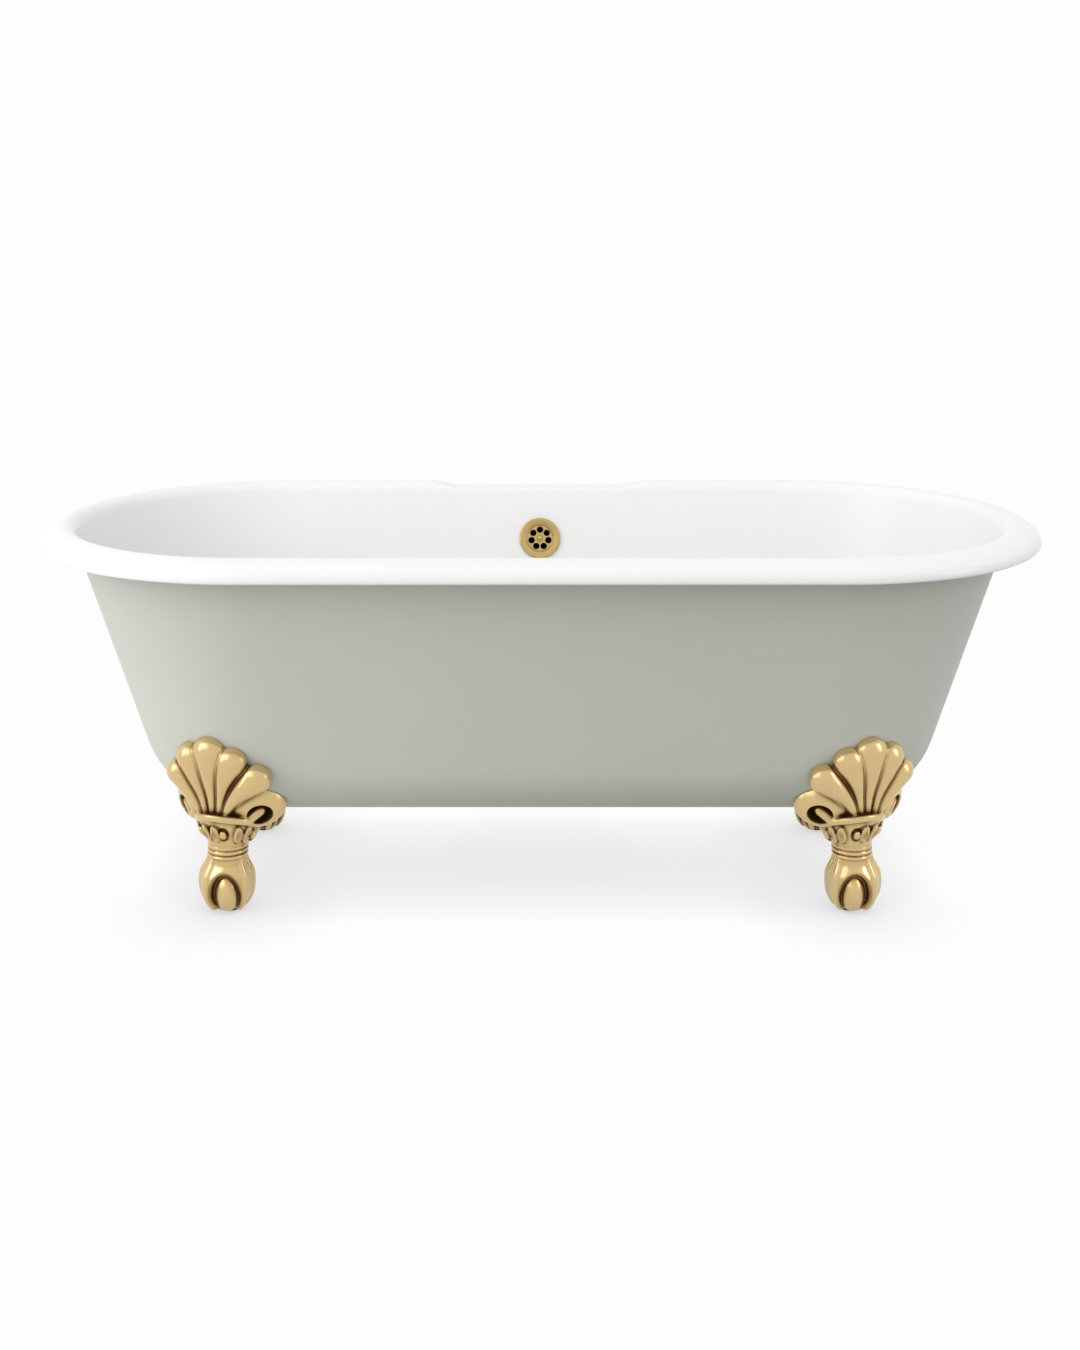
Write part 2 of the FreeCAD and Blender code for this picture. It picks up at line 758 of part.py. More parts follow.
def overflow_elbow():
    """A flanged cup behind the wall, with a post for the screw and a socket that points down."""
    bore = size.overflow_bore
    cup = on_back_wall(turned("elbow_cup", Outline(bore, gasket_back).line(bore, barrel_back + size.casting)
                              .line(0, barrel_back + size.casting).line(0, barrel_back)
                              .line(bore + size.casting, barrel_back).line(bore + size.casting, flange_back)
                              .line(size.elbow_flange, flange_back).line(size.elbow_flange, gasket_back)
                              .close()))
    socket = rod("elbow_socket", socket_outer, pipe_top - socket_base, y=pipe_y, z=socket_base)
    hollow = on_back_wall(turned("elbow_hollow", Outline(0, gasket_back)
                                 .line(0, barrel_back + size.casting)
                                 .line(bore, barrel_back + size.casting).line(bore, gasket_back).close()))
    throat = rod("elbow_throat", pipe_inner, pipe_top - socket_base, y=pipe_y, z=socket_base)
    seat = rod("elbow_seat", socket_radius, size.pipe_grip, y=pipe_y, z=socket_base)
    post = on_back_wall(ring("elbow_post", size.overflow_screw_radius + size.thread_fit,
                             size.overflow_screw_head, barrel_back + size.casting / 2, gasket_back))
    body = cut("elbow_body", join("elbow_solid", cup, socket), join("elbow_bores", hollow, throat, seat))
    return join("overflow_elbow", body, post)


pieces["overflow_face"] = on_back_wall(overflow_face())
pieces["overflow_screw"] = on_back_wall(overflow_screw())
pieces["overflow_gasket"] = on_back_wall(ring("overflow_gasket", size.overflow_bore + size.seat_gap,
                                              size.elbow_flange, gasket_back, -size.wall))
pieces["overflow_elbow"] = overflow_elbow()

# Waste, on its own upright axis behind the middle of the floor
seal_top = floor_top + size.waste_seal
flange_top = seal_top + size.waste_flange_height
shank_base = seal_top - size.waste_shank_length
shank_bore = size.waste_shank - size.casting * 0.75
under_seal = size.base_height - size.gasket
barrel_base = under_seal - size.barrel_length
branch_z = size.base_height - size.branch_drop
branch_end = waste_y + size.branch_reach
outlet_base = barrel_base - size.outlet_length
outlet_bore = size.outlet_radius - size.casting
sleeve_outer = size.stem_radius + size.thread_fit + size.sleeve_wall
hub_base = shank_base + size.casting / 4
hub_top = hub_base + size.hub_height


def on_waste(item):
    """Stand a piece on the waste's axis."""
    return place(item, y=waste_y)


def waste_flange():
    """The flange in the tub floor, its shank, and the spider that holds the plug's sleeve."""
    edge = size.waste_flange_height / 2
    radius = size.waste_flange_radius
    collar = on_waste(turned("waste_collar", Outline(shank_bore, shank_base)
                             .line(size.waste_shank, shank_base).line(size.waste_shank, seal_top)
                             .line(radius, seal_top).line(radius, seal_top + edge)
                             .line(radius - edge, flange_top).line(shank_bore, flange_top).close()))
    hub = on_waste(ring("waste_hub", sleeve_outer + size.thread_fit, sleeve_outer + size.casting,
                        hub_base, hub_top))
    arm_length = (size.waste_shank + shank_bore) / 2 - sleeve_outer - size.casting / 2
    arms = []
    for number in range(4):
        arm = block(f"waste_arm_{number}", arm_length, size.casting, size.hub_height)
        turn = FreeCAD.Rotation(AXIS_Z, 90 * number)
        start = turn.multVec(Vector(1, 0, 0))
        side = turn.multVec(Vector(0, 1, 0))
        reach = sleeve_outer + size.casting / 2
        arm.Placement = FreeCAD.Placement(Vector(), turn)
        place(arm, x=reach * round(start.x) - size.casting / 2 * round(side.x),
              y=waste_y + reach * round(start.y) - size.casting / 2 * round(side.y), z=hub_base)
        arms.append(arm)
    return join("waste_flange", collar, hub, *arms)


def waste_body():
    """The tee under the tub: seat, barrel, outlet thread and the branch for the overflow pipe."""
    radius = size.barrel_radius
    seat_base = under_seal - size.casting
    shank_fit = size.waste_shank + size.thread_fit
    solid = on_waste(turned("tee_solid", Outline(0, outlet_base).line(size.outlet_radius, outlet_base)
                            .line(size.outlet_radius, barrel_base).line(radius, barrel_base)
                            .line(radius, seat_base).line(size.waste_flange_radius, seat_base)
                            .line(size.waste_flange_radius, under_seal).line(0, under_seal).close()))
    hollow = on_waste(turned("tee_hollow", Outline(0, outlet_base).line(outlet_bore, outlet_base)
                             .line(outlet_bore, shank_base).line(shank_fit, shank_base)
                             .line(shank_fit, under_seal).line(0, under_seal).close()))
    along_y = {"y": branch_end, "z": branch_z, "axis": AXIS_X, "angle": 90}
    branch = rod("tee_branch", socket_outer, size.branch_reach, **along_y)
    throat = rod("tee_throat", pipe_inner, size.branch_reach, **along_y)
    seat = rod("tee_seat", socket_radius, size.pipe_grip, **along_y)
    return cut("waste_body", join("tee_outer", solid, branch), join("tee_bores", hollow, throat, seat))


pieces["waste_flange"] = waste_flange()
pieces["waste_flange_seal"] = on_waste(ring("waste_flange_seal", size.waste_shank + size.seat_gap,
                                            size.waste_flange_radius - size.waste_seal, floor_top, seal_top))
pieces["waste_body"] = waste_body()
pieces["waste_body_seal"] = on_waste(ring("waste_body_seal", size.waste_shank + size.waste_seal,
                                          size.waste_flange_radius, under_seal, size.base_height))


def pipe_run(name, radius):
    """A solid of one radius along the pipe's line: down from the elbow, round, and in to the tee."""
    foot = branch_z + size.pipe_bend
    start = branch_end - size.pipe_grip
    drop = rod(f"{name}_drop", radius, socket_base + size.pipe_grip - foot, y=pipe_y, z=foot)
    level = rod(f"{name}_level", radius, pipe_y - size.pipe_bend - start,
                y=pipe_y - size.pipe_bend, z=branch_z, axis=AXIS_X, angle=90)
    bend = doc.addObject("Part::Torus", f"{name}_bend")
    bind(bend, "Radius1", size.pipe_bend)
    bind(bend, "Radius2", radius)
    bend.Angle3 = 90
    upright = FreeCAD.Rotation(Vector(0, 1, 0), Vector(0, 0, -1), Vector(-1, 0, 0), "XYZ")
    bend.Placement = FreeCAD.Placement(Vector(), upright)
    place(bend, y=pipe_y - size.pipe_bend, z=foot)
    return join(name, drop, bend, level)


pieces["overflow_pipe"] = cut("overflow_pipe", pipe_run("pipe_outside", size.pipe_radius),
                              pipe_run("pipe_bore", pipe_inner))


def pipe_nuts():
    """The nuts that hold the pipe in the elbow and in the tee."""
    bore = size.pipe_radius + size.seat_gap
    upper = place(hexagon("elbow_nut", size.nut_hex, bore, size.nut_height),
                  y=pipe_y, z=socket_base - size.nut_height)
    lower = place(hexagon("tee_nut", size.nut_hex, bore, size.nut_height),
                  y=branch_end + size.nut_height, z=branch_z, axis=AXIS_X, angle=90)
    return group("pipe_nuts", upper, lower)


pieces["pipe_nuts"] = pipe_nuts()

# Plug, shut: its seal lies on the flange and its stem stands on the spring in the sleeve
plug_base = flange_top + size.waste_seal
spring_base = hub_top - size.spring_height * 2
stem_base = spring_base + size.spring_height


def plug_cap():
    """A shallow domed cap."""
    dome = size.plug_height * 0.6
    radius = size.plug_radius
    edge = size.plug_height - dome
    curve = (radius * radius + dome * dome) / (2 * dome)
    return turned("plug_cap", Outline(0, plug_base).line(radius, plug_base).line(radius, plug_base + edge)
                  .arc(0, plug_base + size.plug_height, curve).close())


def plug_sleeve():
    """The sleeve that screws into the spider, guides the stem and holds the spring."""
    bore = size.stem_radius + size.thread_fit
    collar = sleeve_outer + size.casting / 2
    base = spring_base - size.casting / 2
    return turned("plug_sleeve", Outline(0, base).line(sleeve_outer, base).line(sleeve_outer, hub_top)
                  .line(collar, hub_top).line(collar, hub_top + size.casting / 2)
                  .line(bore, hub_top + size.casting / 2).line(bore, spring_base)
                  .line(0, spring_base).close())


def plug_spring():
    """A coil of round wire between the sleeve's floor and the stem."""
    coil = size.stem_radius - size.spring_wire * 1.5
    turns = 5
    helix = doc.addObject("Part::Helix", "spring_line")
    bind(helix, "Radius", coil)
    bind(helix, "Height", size.spring_height - 2 * size.spring_wire)
    bind(helix, "Pitch", (size.spring_height - 2 * size.spring_wire) / turns)
    section = doc.addObject("Part::Circle", "spring_section")
    bind(section, "Radius", size.spring_wire)
    place(section, x=coil, axis=AXIS_X, angle=90)
    coil_solid = doc.addObject("Part::Sweep", "plug_spring")
    coil_solid.Sections = [section]
    coil_solid.Spine = (helix, ["Edge1"])
    coil_solid.Solid = True
    coil_solid.Frenet = True
    return place(coil_solid, y=waste_y, z=spring_base + size.spring_wire)


pieces["plug_cap"] = on_waste(plug_cap())
pieces["plug_seal"] = on_waste(ring("plug_seal", size.stem_radius + size.waste_seal,
                                    shank_bore + size.casting / 2, flange_top, plug_base))
pieces["plug_stem"] = on_waste(turned("plug_stem", Outline(0, stem_base).line(size.stem_radius, stem_base)
                                      .line(size.stem_radius, plug_base).line(0, plug_base).close()))
pieces["plug_sleeve"] = on_waste(plug_sleeve())
pieces["plug_spring"] = plug_spring()


def check_document():
    """Stop if any object failed, or if a piece has no sound solid."""
    failed = [item.Label for item in doc.Objects if {"Invalid", "Error"} & set(item.State)]
    if failed:
        raise RuntimeError("failed objects: " + ", ".join(failed))
    for name, item in pieces.items():
        if item.Shape.isNull() or not item.Shape.isValid() or not item.Shape.Solids:
            raise RuntimeError("no sound solid in " + name)


doc.recompute()
check_document()
os.makedirs("parts", exist_ok=True)
for name, item in pieces.items():
    item.Label = name
    item.Shape.exportStep(f"parts/{name}.step")
    box = item.Shape.BoundBox
    print(f"{name}: {len(item.Shape.Solids)} solids, {item.Shape.Volume / 1000:.1f} cm3, "
          f"x {box.XMin:.1f} to {box.XMax:.1f}, y {box.YMin:.1f} to {box.YMax:.1f}, "
          f"z {box.ZMin:.1f} to {box.ZMax:.1f}")
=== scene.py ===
"""Looks of a cast iron roll top bath on gilded shell and claw feet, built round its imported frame."""
import json
import math

import bmesh
import bpy
import numpy as np
import openvdb
from mathutils import Matrix, Vector


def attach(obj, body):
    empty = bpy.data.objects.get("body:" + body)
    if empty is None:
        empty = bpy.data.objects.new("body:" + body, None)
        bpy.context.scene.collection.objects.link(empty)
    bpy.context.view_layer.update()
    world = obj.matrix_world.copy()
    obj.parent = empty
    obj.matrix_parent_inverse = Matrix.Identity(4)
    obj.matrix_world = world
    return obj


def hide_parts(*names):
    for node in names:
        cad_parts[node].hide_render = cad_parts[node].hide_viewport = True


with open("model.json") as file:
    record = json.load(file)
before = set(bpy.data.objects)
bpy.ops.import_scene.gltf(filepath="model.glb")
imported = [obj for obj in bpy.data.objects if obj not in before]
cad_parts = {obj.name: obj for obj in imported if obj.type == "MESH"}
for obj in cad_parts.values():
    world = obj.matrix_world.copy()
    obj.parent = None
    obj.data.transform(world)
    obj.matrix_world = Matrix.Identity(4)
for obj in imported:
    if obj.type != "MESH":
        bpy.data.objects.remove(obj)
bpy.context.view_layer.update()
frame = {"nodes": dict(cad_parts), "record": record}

# Tub, in metres
BATH_LENGTH = 1.7
BATH_WIDTH = 0.77
RIM_HEIGHT = 0.648
BASE_HEIGHT = 0.156
FLOOR_HALF = 0.0892
WALL = 0.008
BASE_CORNER = 0.144
RIM_ROLL = 0.024
RIM_OVERHANG = 0.042
RIM_DROP = 0.028
RIM_NOSE = 0.018
LIP_DEPTH = 0.005
LEDGE_HALF = 0.160
LEDGE_RAMP = 0.053
LEDGE_DROP = 0.0135
LEDGE_SOFTNESS = 0.006
LEDGE_EASE = 0.01
RAMP_TOP = LEDGE_HALF + LEDGE_RAMP

END_CENTRE = (BATH_LENGTH - BATH_WIDTH) / 2
CREST = BATH_WIDTH / 2 - RIM_OVERHANG
ROLL_CENTRE = np.array([CREST, RIM_HEIGHT - RIM_ROLL])
CORNER_CENTRE = np.array([FLOOR_HALF, BASE_HEIGHT + BASE_CORNER])
CORNER_TO_ROLL = ROLL_CENTRE - CORNER_CENTRE
LEAN = (math.acos((BASE_CORNER + RIM_ROLL - WALL) / np.linalg.norm(CORNER_TO_ROLL))
        - math.atan2(CORNER_TO_ROLL[1], CORNER_TO_ROLL[0]))
WALL_OUT = np.array([math.cos(LEAN), -math.sin(LEAN)])
WALL_FOOT = CORNER_CENTRE + BASE_CORNER * WALL_OUT
OVAL_RUN = RIM_OVERHANG - RIM_NOSE
BROAD = (OVAL_RUN ** 2 + RIM_DROP ** 2 - RIM_NOSE ** 2) / (2 * (RIM_DROP - RIM_NOSE))
BROAD_CENTRE = np.array([CREST, RIM_HEIGHT - BROAD])
NOSE_CENTRE = np.array([BATH_WIDTH / 2 - RIM_NOSE, RIM_HEIGHT - RIM_DROP])
OVAL_TURN = math.atan2(*(NOSE_CENTRE - BROAD_CENTRE)[::-1])
LIP_ROUND = WALL / 2
LIP_CENTRE = np.array([BATH_WIDTH / 2 - LIP_ROUND, RIM_HEIGHT - RIM_DROP - LIP_DEPTH + LIP_ROUND])

# Fittings
BOSS_RADIUS = 0.017
BOSS_DROP = 0.010
BOLT_OUTSET = 0.018
BOLT_REACH = FLOOR_HALF + BOLT_OUTSET
BOLT_HOLE = 0.0065
WASTE_Y = 0.05
WASTE_HOLE = 0.0223
OVERFLOW_DROP = 0.103
OVERFLOW_HOLE = 0.0245
OVERFLOW_BORE = 0.0215
OVERFLOW_Z = RIM_HEIGHT - OVERFLOW_DROP
OVERFLOW_Y = (ROLL_CENTRE[0] + (OVERFLOW_Z - ROLL_CENTRE[1]) * math.tan(LEAN)
              - RIM_ROLL / math.cos(LEAN))

# Overflow grille
GRILLE_RADIUS = 0.0385
GRILLE_HOLE = 0.0062
GRILLE_HOLES = 7
GRILLE_HOLES_ON = 0.0164
GRILLE_SCREW_HOLE = 0.0035
BRIM_HEIGHT = 0.006
BRIM_ROUND = 0.0022
BEZEL_INSET = 0.0045
BEZEL_DIP = 0.0001
BEZEL_STEP = 0.0010
PLATE_RADIUS = 0.0250
PLATE_HEIGHT = 0.0035
PLATE_BEAD = 0.0009
PLATE_BEAD_RISE = 0.0004
PLATE_BEAD_HALF = 0.0012

# Feet, in a frame with its origin under the tub's end centre and X outward through the foot
FOOT_TURN = math.radians(20)
FOOT_AXIS = 0.199
FOOT_INWARD = math.radians(121)
FOOT_LEAN = 0.009
FOOT_LEAN_SHARE = 0.40
FOOT_LEAN_LOW = 0.03
FOOT_LEAN_HIGH = 0.17
SOLE_HEIGHT = 0.0033
SEAT_GAP = 0.0004
HOLLOW_REACHES = (0.003, 0.006, 0.010, 0.016)
HOLLOW_FULL = 0.7

# The block that a foot is carved from
FOOT_STEP = 0.0012
BLOCK_LOW = (0.084, -0.118, -0.002)
BLOCK_HIGH = (0.292, 0.118, 0.334)
EMPTY = 0.02
SHAPE_MARGIN = 0.012
TURNED_MARGIN = 0.02
TURNED_STEEPNESS = 0.85

# A foot's tongue and holes, with the middle and reach of the boxes that they are carved in
TONGUE_MIDDLE = 0.1445
TONGUE_HEIGHT = 0.140
TONGUE_HALF = (0.0545, 0.017, 0.006)
TONGUE_BOX = ((TONGUE_MIDDLE, 0, TONGUE_HEIGHT), (0.075, 0.035, 0.025))
FOOT_HOLE = 0.0063
BOLT_BOX = ((BOLT_REACH, 0, TONGUE_HEIGHT), (0.012, 0.012, 0.02))
SCREW_TOP = 0.0455
SCREW_BOX = ((FOOT_AXIS, 0, 0.02), (0.012, 0.012, 0.025))

# The shell fan
LOBE_SPREAD = 0.24
FAN_REACH = 0.237
FAN_FOOT = 0.165
FAN_LEAN = 0.04
FAN_STANDOFF = 0.003
FAN_BEND = 0.03
SLOPE_STEP = 0.002
SADDLE_CENTRE = (0.188, 0, 0.190)
SADDLE_RADII = (0.042, 0.040, 0.046)
STEM_HEIGHT = 0.166
STEM_HALF = 0.0050
STEM_DEPTH = 0.0065
PETAL_STEPS = 64
PETAL_WIDENING = 1.6
PETAL_SWELL = 0.0155
PETAL_SWELL_END = 0.9
# Each petal's tip as a turn in degrees and a height, its half width, its stem and its elbow
PETALS = ((-19.2, 0.269, 0.0240, -0.0200, (-0.030, 0.216)),
          (24.0, 0.268, 0.0260, 0.0175, (0.028, 0.214)),
          (-9.8, 0.3085, 0.0265, -0.0100, (-0.020, 0.238)),
          (12.6, 0.305, 0.0270, 0.0085, (0.019, 0.238)),
          (1.2, 0.3245, 0.0290, -0.0005, (0.0, 0.240)))

# The scrolls beside the fan, with radii outward, along and upward
VOLUTE_TURN = math.radians(36)
VOLUTE_INSET = 0.003
VOLUTE_SPREAD = 0.060
VOLUTE_HEIGHT = 0.195
VOLUTE_RADII = (0.021, 0.050, 0.040)
EYE_ALONG = 0.0025
EYE_DROP = 0.0135
EYE_OUT = 0.016
EYE_RADII = (0.026, 0.0215, 0.0175)
CURL_STEPS = 9
CURL_START = np.array([-0.020, -0.011])
CURL_RUN = np.array([0.023, 0.017])
CURL_OUT = 0.004
CURL_RADII = (0.013, 0.0095, 0.0095)

# The collar, with a curve of height and radius, and its lip, beads and leaves
COLLAR_RADIUS = 0.0570
COLLAR_TOP = 0.167
COLLAR_CURVE = ((0.112, 0.0300), (0.119, 0.0320), (0.132, 0.0385), (0.145, 0.0455), (COLLAR_TOP, 0.0490))
COLLAR_TILT = 0.36
COLLAR_TILT_LOW = 0.118
COLLAR_TILT_HIGH = 0.158
COLLAR_LIP_INSET = 0.0045
COLLAR_LIP_DROP = 0.004
COLLAR_LIP_ROUND = 0.0046
COLLAR_LIP_STRETCH = 0.7
COLLAR_LIP_BOX = ((FOOT_AXIS, 0, COLLAR_TOP), (0.075, 0.075, 0.045))
COLLAR_CAP_SHIFT = 0.004
COLLAR_CAP_CENTRE = (FOOT_AXIS + COLLAR_CAP_SHIFT, 0, COLLAR_TOP + COLLAR_CAP_SHIFT)
COLLAR_CAP_RADII = (0.045, 0.045, 0.016)
FLARE = math.radians(27)
FLARE_LOW = 0.120
FLARE_RADIUS = 0.0330
ORNAMENT_HEIGHT = 0.141
ORNAMENT_REACH = 0.042
ORNAMENT_TILT_SHARE = 0.55
BEAD_COUNT = 5
BEAD_TURN = 17
BEAD_RADII = (0.0062, 0.0062, 0.0092)
BEAD_HOLLOW = (0.0060, 0.0100, 0.0145)
LEAF_TURN = 61
LEAF_SPLAY = 11
LEAF_RADII = (0.0062, 0.0085, 0.0200)
GROOVE_OUT = 0.0065
GROOVE_RISE = 0.003
GROOVE_RADII = (0.0040, 0.0045, 0.0140)

# The neck and the claw, with curves of height and radius
NECK_RADIUS = 0.0305
NECK_LOW = 0.090
NECK_HIGH = 0.125
NECK_RINGS = (0.1020, 0.1105, 0.1190)
RING_ROUND = 0.0042
RING_REACH = (0.05, 0.05, 0.02)
# Each toe's middle and half width, and the raised fingers on the toes, in degrees
TOES = ((-44, 28), (94, 31), (170, 14), (235, 14))
FINGERS = (-27, 74, 118, 170, 235, 290)
CLAW_RADIUS = 0.045
CLAW_CURVE = ((SOLE_HEIGHT, 0.0205), (0.008, 0.0275), (0.014, 0.0335), (0.025, 0.0400), (0.038, 0.0436),
              (0.052, 0.0445), (0.068, 0.0425), (0.080, 0.0365), (0.089, 0.0320), (0.098, 0.0305))
CORE_CURVE = ((SOLE_HEIGHT, 0.0205), (0.020, 0.0220), (0.050, 0.0220), (0.080, 0.0180))
FINGER_LOW = 0.012
FINGER_HIGH = 0.094
FINGER_STEPS = 24
FINGER_INSET = 0.0045
FINGER_DEPTH = 0.0078
FINGER_TALL = 0.0090
FINGER_HALF = 0.0060
FINGER_SWELL = 0.0030
FINGER_SPAN = 0.1
GAP_OUT = 0.048
GAP_HEIGHT = 0.026
GAP_DEPTH = 0.034
GAP_TALL = 0.052
EGG_OUT = 0.0155
EGG_HEIGHT = 0.037
EGG_DEPTH = 0.0275
EGG_TALL = 0.0360
EGG_SHARE = 0.76
EGG_SHIFT = 0.17

# Mesh settings: the least length that counts, the length of cutting pegs, and creases in degrees
TINY = 1e-6
CUT_DEPTH = 0.1
TUB_CREASE = 35
GRILLE_CREASE = 30
NO_CREASE = 180


def back_wall():
    """The overflow's place on the back wall's inner face, with Z into the tub."""
    return Matrix.Translation((0, OVERFLOW_Y, OVERFLOW_Z)) @ Matrix.Rotation(math.pi / 2 - LEAN, 4, "X")


def foot_places():
    """What takes a foot's own frame to each corner of the tub."""
    places = {}
    for end, end_sign in (("left", -1), ("right", 1)):
        for row, row_sign in (("front", -1), ("rear", 1)):
            outward = Vector((end_sign * math.sin(FOOT_TURN), row_sign * math.cos(FOOT_TURN), 0))
            toward_middle = Vector((-end_sign * math.cos(FOOT_TURN), row_sign * math.sin(FOOT_TURN), 0))
            place = Matrix((outward, toward_middle, (0, 0, 1))).transposed().to_4x4()
            place.translation = (end_sign * END_CENTRE, 0, 0)
            places[f"foot_{row}_{end}"] = place
    return places


# Mesh helpers

def smooth_min(one, two, blend):
    """The smaller of two distances, with a rounded crossing."""
    if blend == 0:
        return np.minimum(one, two)
    share = np.clip(0.5 + 0.5 * (two - one) / blend, 0, 1)
    return two * (1 - share) + one * share - blend * share * (1 - share)


def smooth_step(low, high, amount):
    """0 up to one amount, 1 from another, and a smooth rise between them."""
    share = np.clip((amount - low) / (high - low), 0, 1)
    return share * share * (3 - 2 * share)


def add_mesh(name, points, faces, materials):
    """A new object from points and faces."""
    mesh = bpy.data.meshes.new(name)
    mesh.from_pydata(np.asarray(points).tolist(), [], [list(face) for face in faces])
    for material in materials:
        mesh.materials.append(material)
    thing = bpy.data.objects.new(name, mesh)
    bpy.context.scene.collection.objects.link(thing)
    return thing


def tidy_mesh(thing, crease):
    """Merge doubled points, turn every face outward and shade it smooth up to an angle in degrees."""
    work = bmesh.new()
    work.from_mesh(thing.data)
    bmesh.ops.remove_doubles(work, verts=work.verts, dist=TINY)
    bmesh.ops.recalc_face_normals(work, faces=work.faces)
    work.to_mesh(thing.data)
    work.free()
    thing.data.shade_smooth()
    thing.data.set_sharp_from_angle(angle=math.radians(crease))


def combine(thing, tools, operation):
    """Cut solids out of a mesh, or join them to it, and drop them."""
    for tool in tools:
        step = thing.modifiers.new("combine", "BOOLEAN")
        step.operation = operation
        step.solver = "EXACT"
        step.object = tool
    shapes = bpy.context.evaluated_depsgraph_get()
    combined = bpy.data.meshes.new_from_object(thing.evaluated_get(shapes))
    thing.modifiers.clear()
    thing.data = combined
    for tool in tools:
        bpy.data.objects.remove(tool)


def peg(radius, depth, where):
    """A cylinder to cut or join with, centred where the matrix says."""
    bpy.ops.mesh.primitive_cylinder_add(vertices=64, radius=radius, depth=depth)
    item = bpy.context.object
    item.matrix_world = where
    return item


def arc(centre, radius, start, end, count):
    """Points on an arc, from one angle to another."""
    angles = np.linspace(start, end, count)
    return centre + radius * np.stack([np.cos(angles), np.sin(angles)], axis=1)


def line(start, end, count):
    """Evenly spaced points or values, from one to another."""
    return np.linspace(start, end, count)


def ring_faces(count, size):
    """Quads between neighbouring sections of a closed ring, as point numbers."""
    faces = []
    for section in range(count):
        here = section * size
        there = (section + 1) % count * size
        faces += [(here + j, there + j, there + j + 1, here + j + 1) for j in range(size - 1)]
    return faces


def lathe(name, profile, materials, count=96):
    """A mesh turned about Z from points of radius and height."""
    angles = np.linspace(0, 2 * math.pi, count, endpoint=False)
    points = [(r * math.cos(a), r * math.sin(a), z) for a in angles for r, z in profile]
    return add_mesh(name, points, ring_faces(count, len(profile)), materials)


# Materials

ENAMEL_WHITE = (0.86, 0.86, 0.855)
PAINT_DEEP = (0.532, 0.552, 0.494)
PAINT_PALE = (0.562, 0.581, 0.522)
# The gold's colours by hollowness: a painted highlight on the swells, plain gold between, and painted
# shade in the hollows
GOLD_PAINTED_HIGHLIGHT = (0.67, 0.49, 0.228)
GOLD = (0.47, 0.315, 0.120)
GOLD_PAINTED_SHADE = (0.15, 0.072, 0.016)
PAINTED_SHADE_START = 0.35
BRASS = (0.57, 0.405, 0.17)
BRASS_ROUGHNESS = 0.24
# Painted shade for the inside of the overflow's bore
BORE_PAINTED_SHADE = (0.012, 0.009, 0.005)
BORE_FADE = 0.001
BORE_FACING = (-0.3, -0.2)
ZINC = (0.56, 0.57, 0.58)
ZINC_ROUGHNESS = 0.36
RUBBER_DEEP = (0.018, 0.018, 0.019)
RUBBER_PALE = (0.032, 0.031, 0.03)


class Shader:
    """A material's node tree, with short ways to add nodes and links."""

    def __init__(self, name):
        self.material = bpy.data.materials.new(name)
        self.material.use_nodes = True
        self.nodes = self.material.node_tree.nodes
        self.surface = self.nodes["Principled BSDF"]
        self.output = self.nodes["Material Output"]

    def link(self, source, target):
        self.material.node_tree.links.new(source, target)

    def add(self, kind, **values):
        node = self.nodes.new(kind)
        for name, value in values.items():
            if name in node.inputs:
                node.inputs[name].default_value = value
            else:
                setattr(node, name, value)
        return node

    def feed(self, name, value):
        """Link a value to an input of the surface."""
        self.link(value, self.surface.inputs[name])

    def noise(self, scale, detail=3.0):
        place = self.add("ShaderNodeTexCoord").outputs["Object"]
        node = self.add("ShaderNodeTexNoise", Scale=scale, Detail=detail)
        self.link(place, node.inputs["Vector"])
        return node.outputs["Fac"]

    def fit(self, value, low, high, start=0.0, end=1.0):
        """Map a value from one range, 0 to 1 unless told, onto another."""
        node = self.add("ShaderNodeMapRange")
        self.link(value, node.inputs["Value"])
        node.inputs["From Min"].default_value = start
        node.inputs["From Max"].default_value = end
        node.inputs["To Min"].default_value = low
        node.inputs["To Max"].default_value = high
        return node.outputs["Result"]

    def blend(self, value, first, second):
        """Mix two colours by a value."""
        node = self.add("ShaderNodeMixRGB", Color1=(*first, 1), Color2=(*second, 1))
        self.link(value, node.inputs["Fac"])
        return node.outputs["Color"]

    def off_line(self, point, direction):
        """How far the shaded point lies from a line."""
        place = self.add("ShaderNodeNewGeometry").outputs["Position"]
        offset = self.add("ShaderNodeVectorMath", operation="SUBTRACT")
        self.link(place, offset.inputs[0])
        offset.inputs[1].default_value = point
        across = self.add("ShaderNodeVectorMath", operation="CROSS_PRODUCT")
        self.link(offset.outputs["Vector"], across.inputs[0])
        across.inputs[1].default_value = direction
        length = self.add("ShaderNodeVectorMath", operation="LENGTH")
        self.link(across.outputs["Vector"], length.inputs[0])
        return length.outputs["Value"]

    def bump(self, *layers):
        """Stack bump layers of (height, strength, distance) on the surface's normal."""
        normal = None
        for height, strength, distance in layers:
            node = self.add("ShaderNodeBump", Strength=strength, Distance=distance)
            self.link(height, node.inputs["Height"])
            if normal is not None:
                self.link(normal, node.inputs["Normal"])
            normal = node.outputs["Normal"]
        self.feed("Normal", normal)

    def roughen(self, scale, low, high, detail=3.0):
        """Let the roughness wander between two values."""
        self.feed("Roughness", self.fit(self.noise(scale, detail), low, high))

    def set(self, **values):
        for name, value in values.items():
            self.surface.inputs[name.replace("_", " ")].default_value = value


def enamel_material():
    """Vitreous enamel: white glass with a faint ripple."""
    shader = Shader("white_enamel")
    shader.set(Base_Color=(*ENAMEL_WHITE, 1), Specular_IOR_Level=0.25)
    shader.set(Coat_Weight=0.08, Coat_Roughness=0.04)
    shader.roughen(40, 0.14, 0.22)
    shader.bump((shader.noise(9, detail=1), 0.06, 0.002), (shader.noise(160, detail=1), 0.02, 0.0006))
    return shader.material


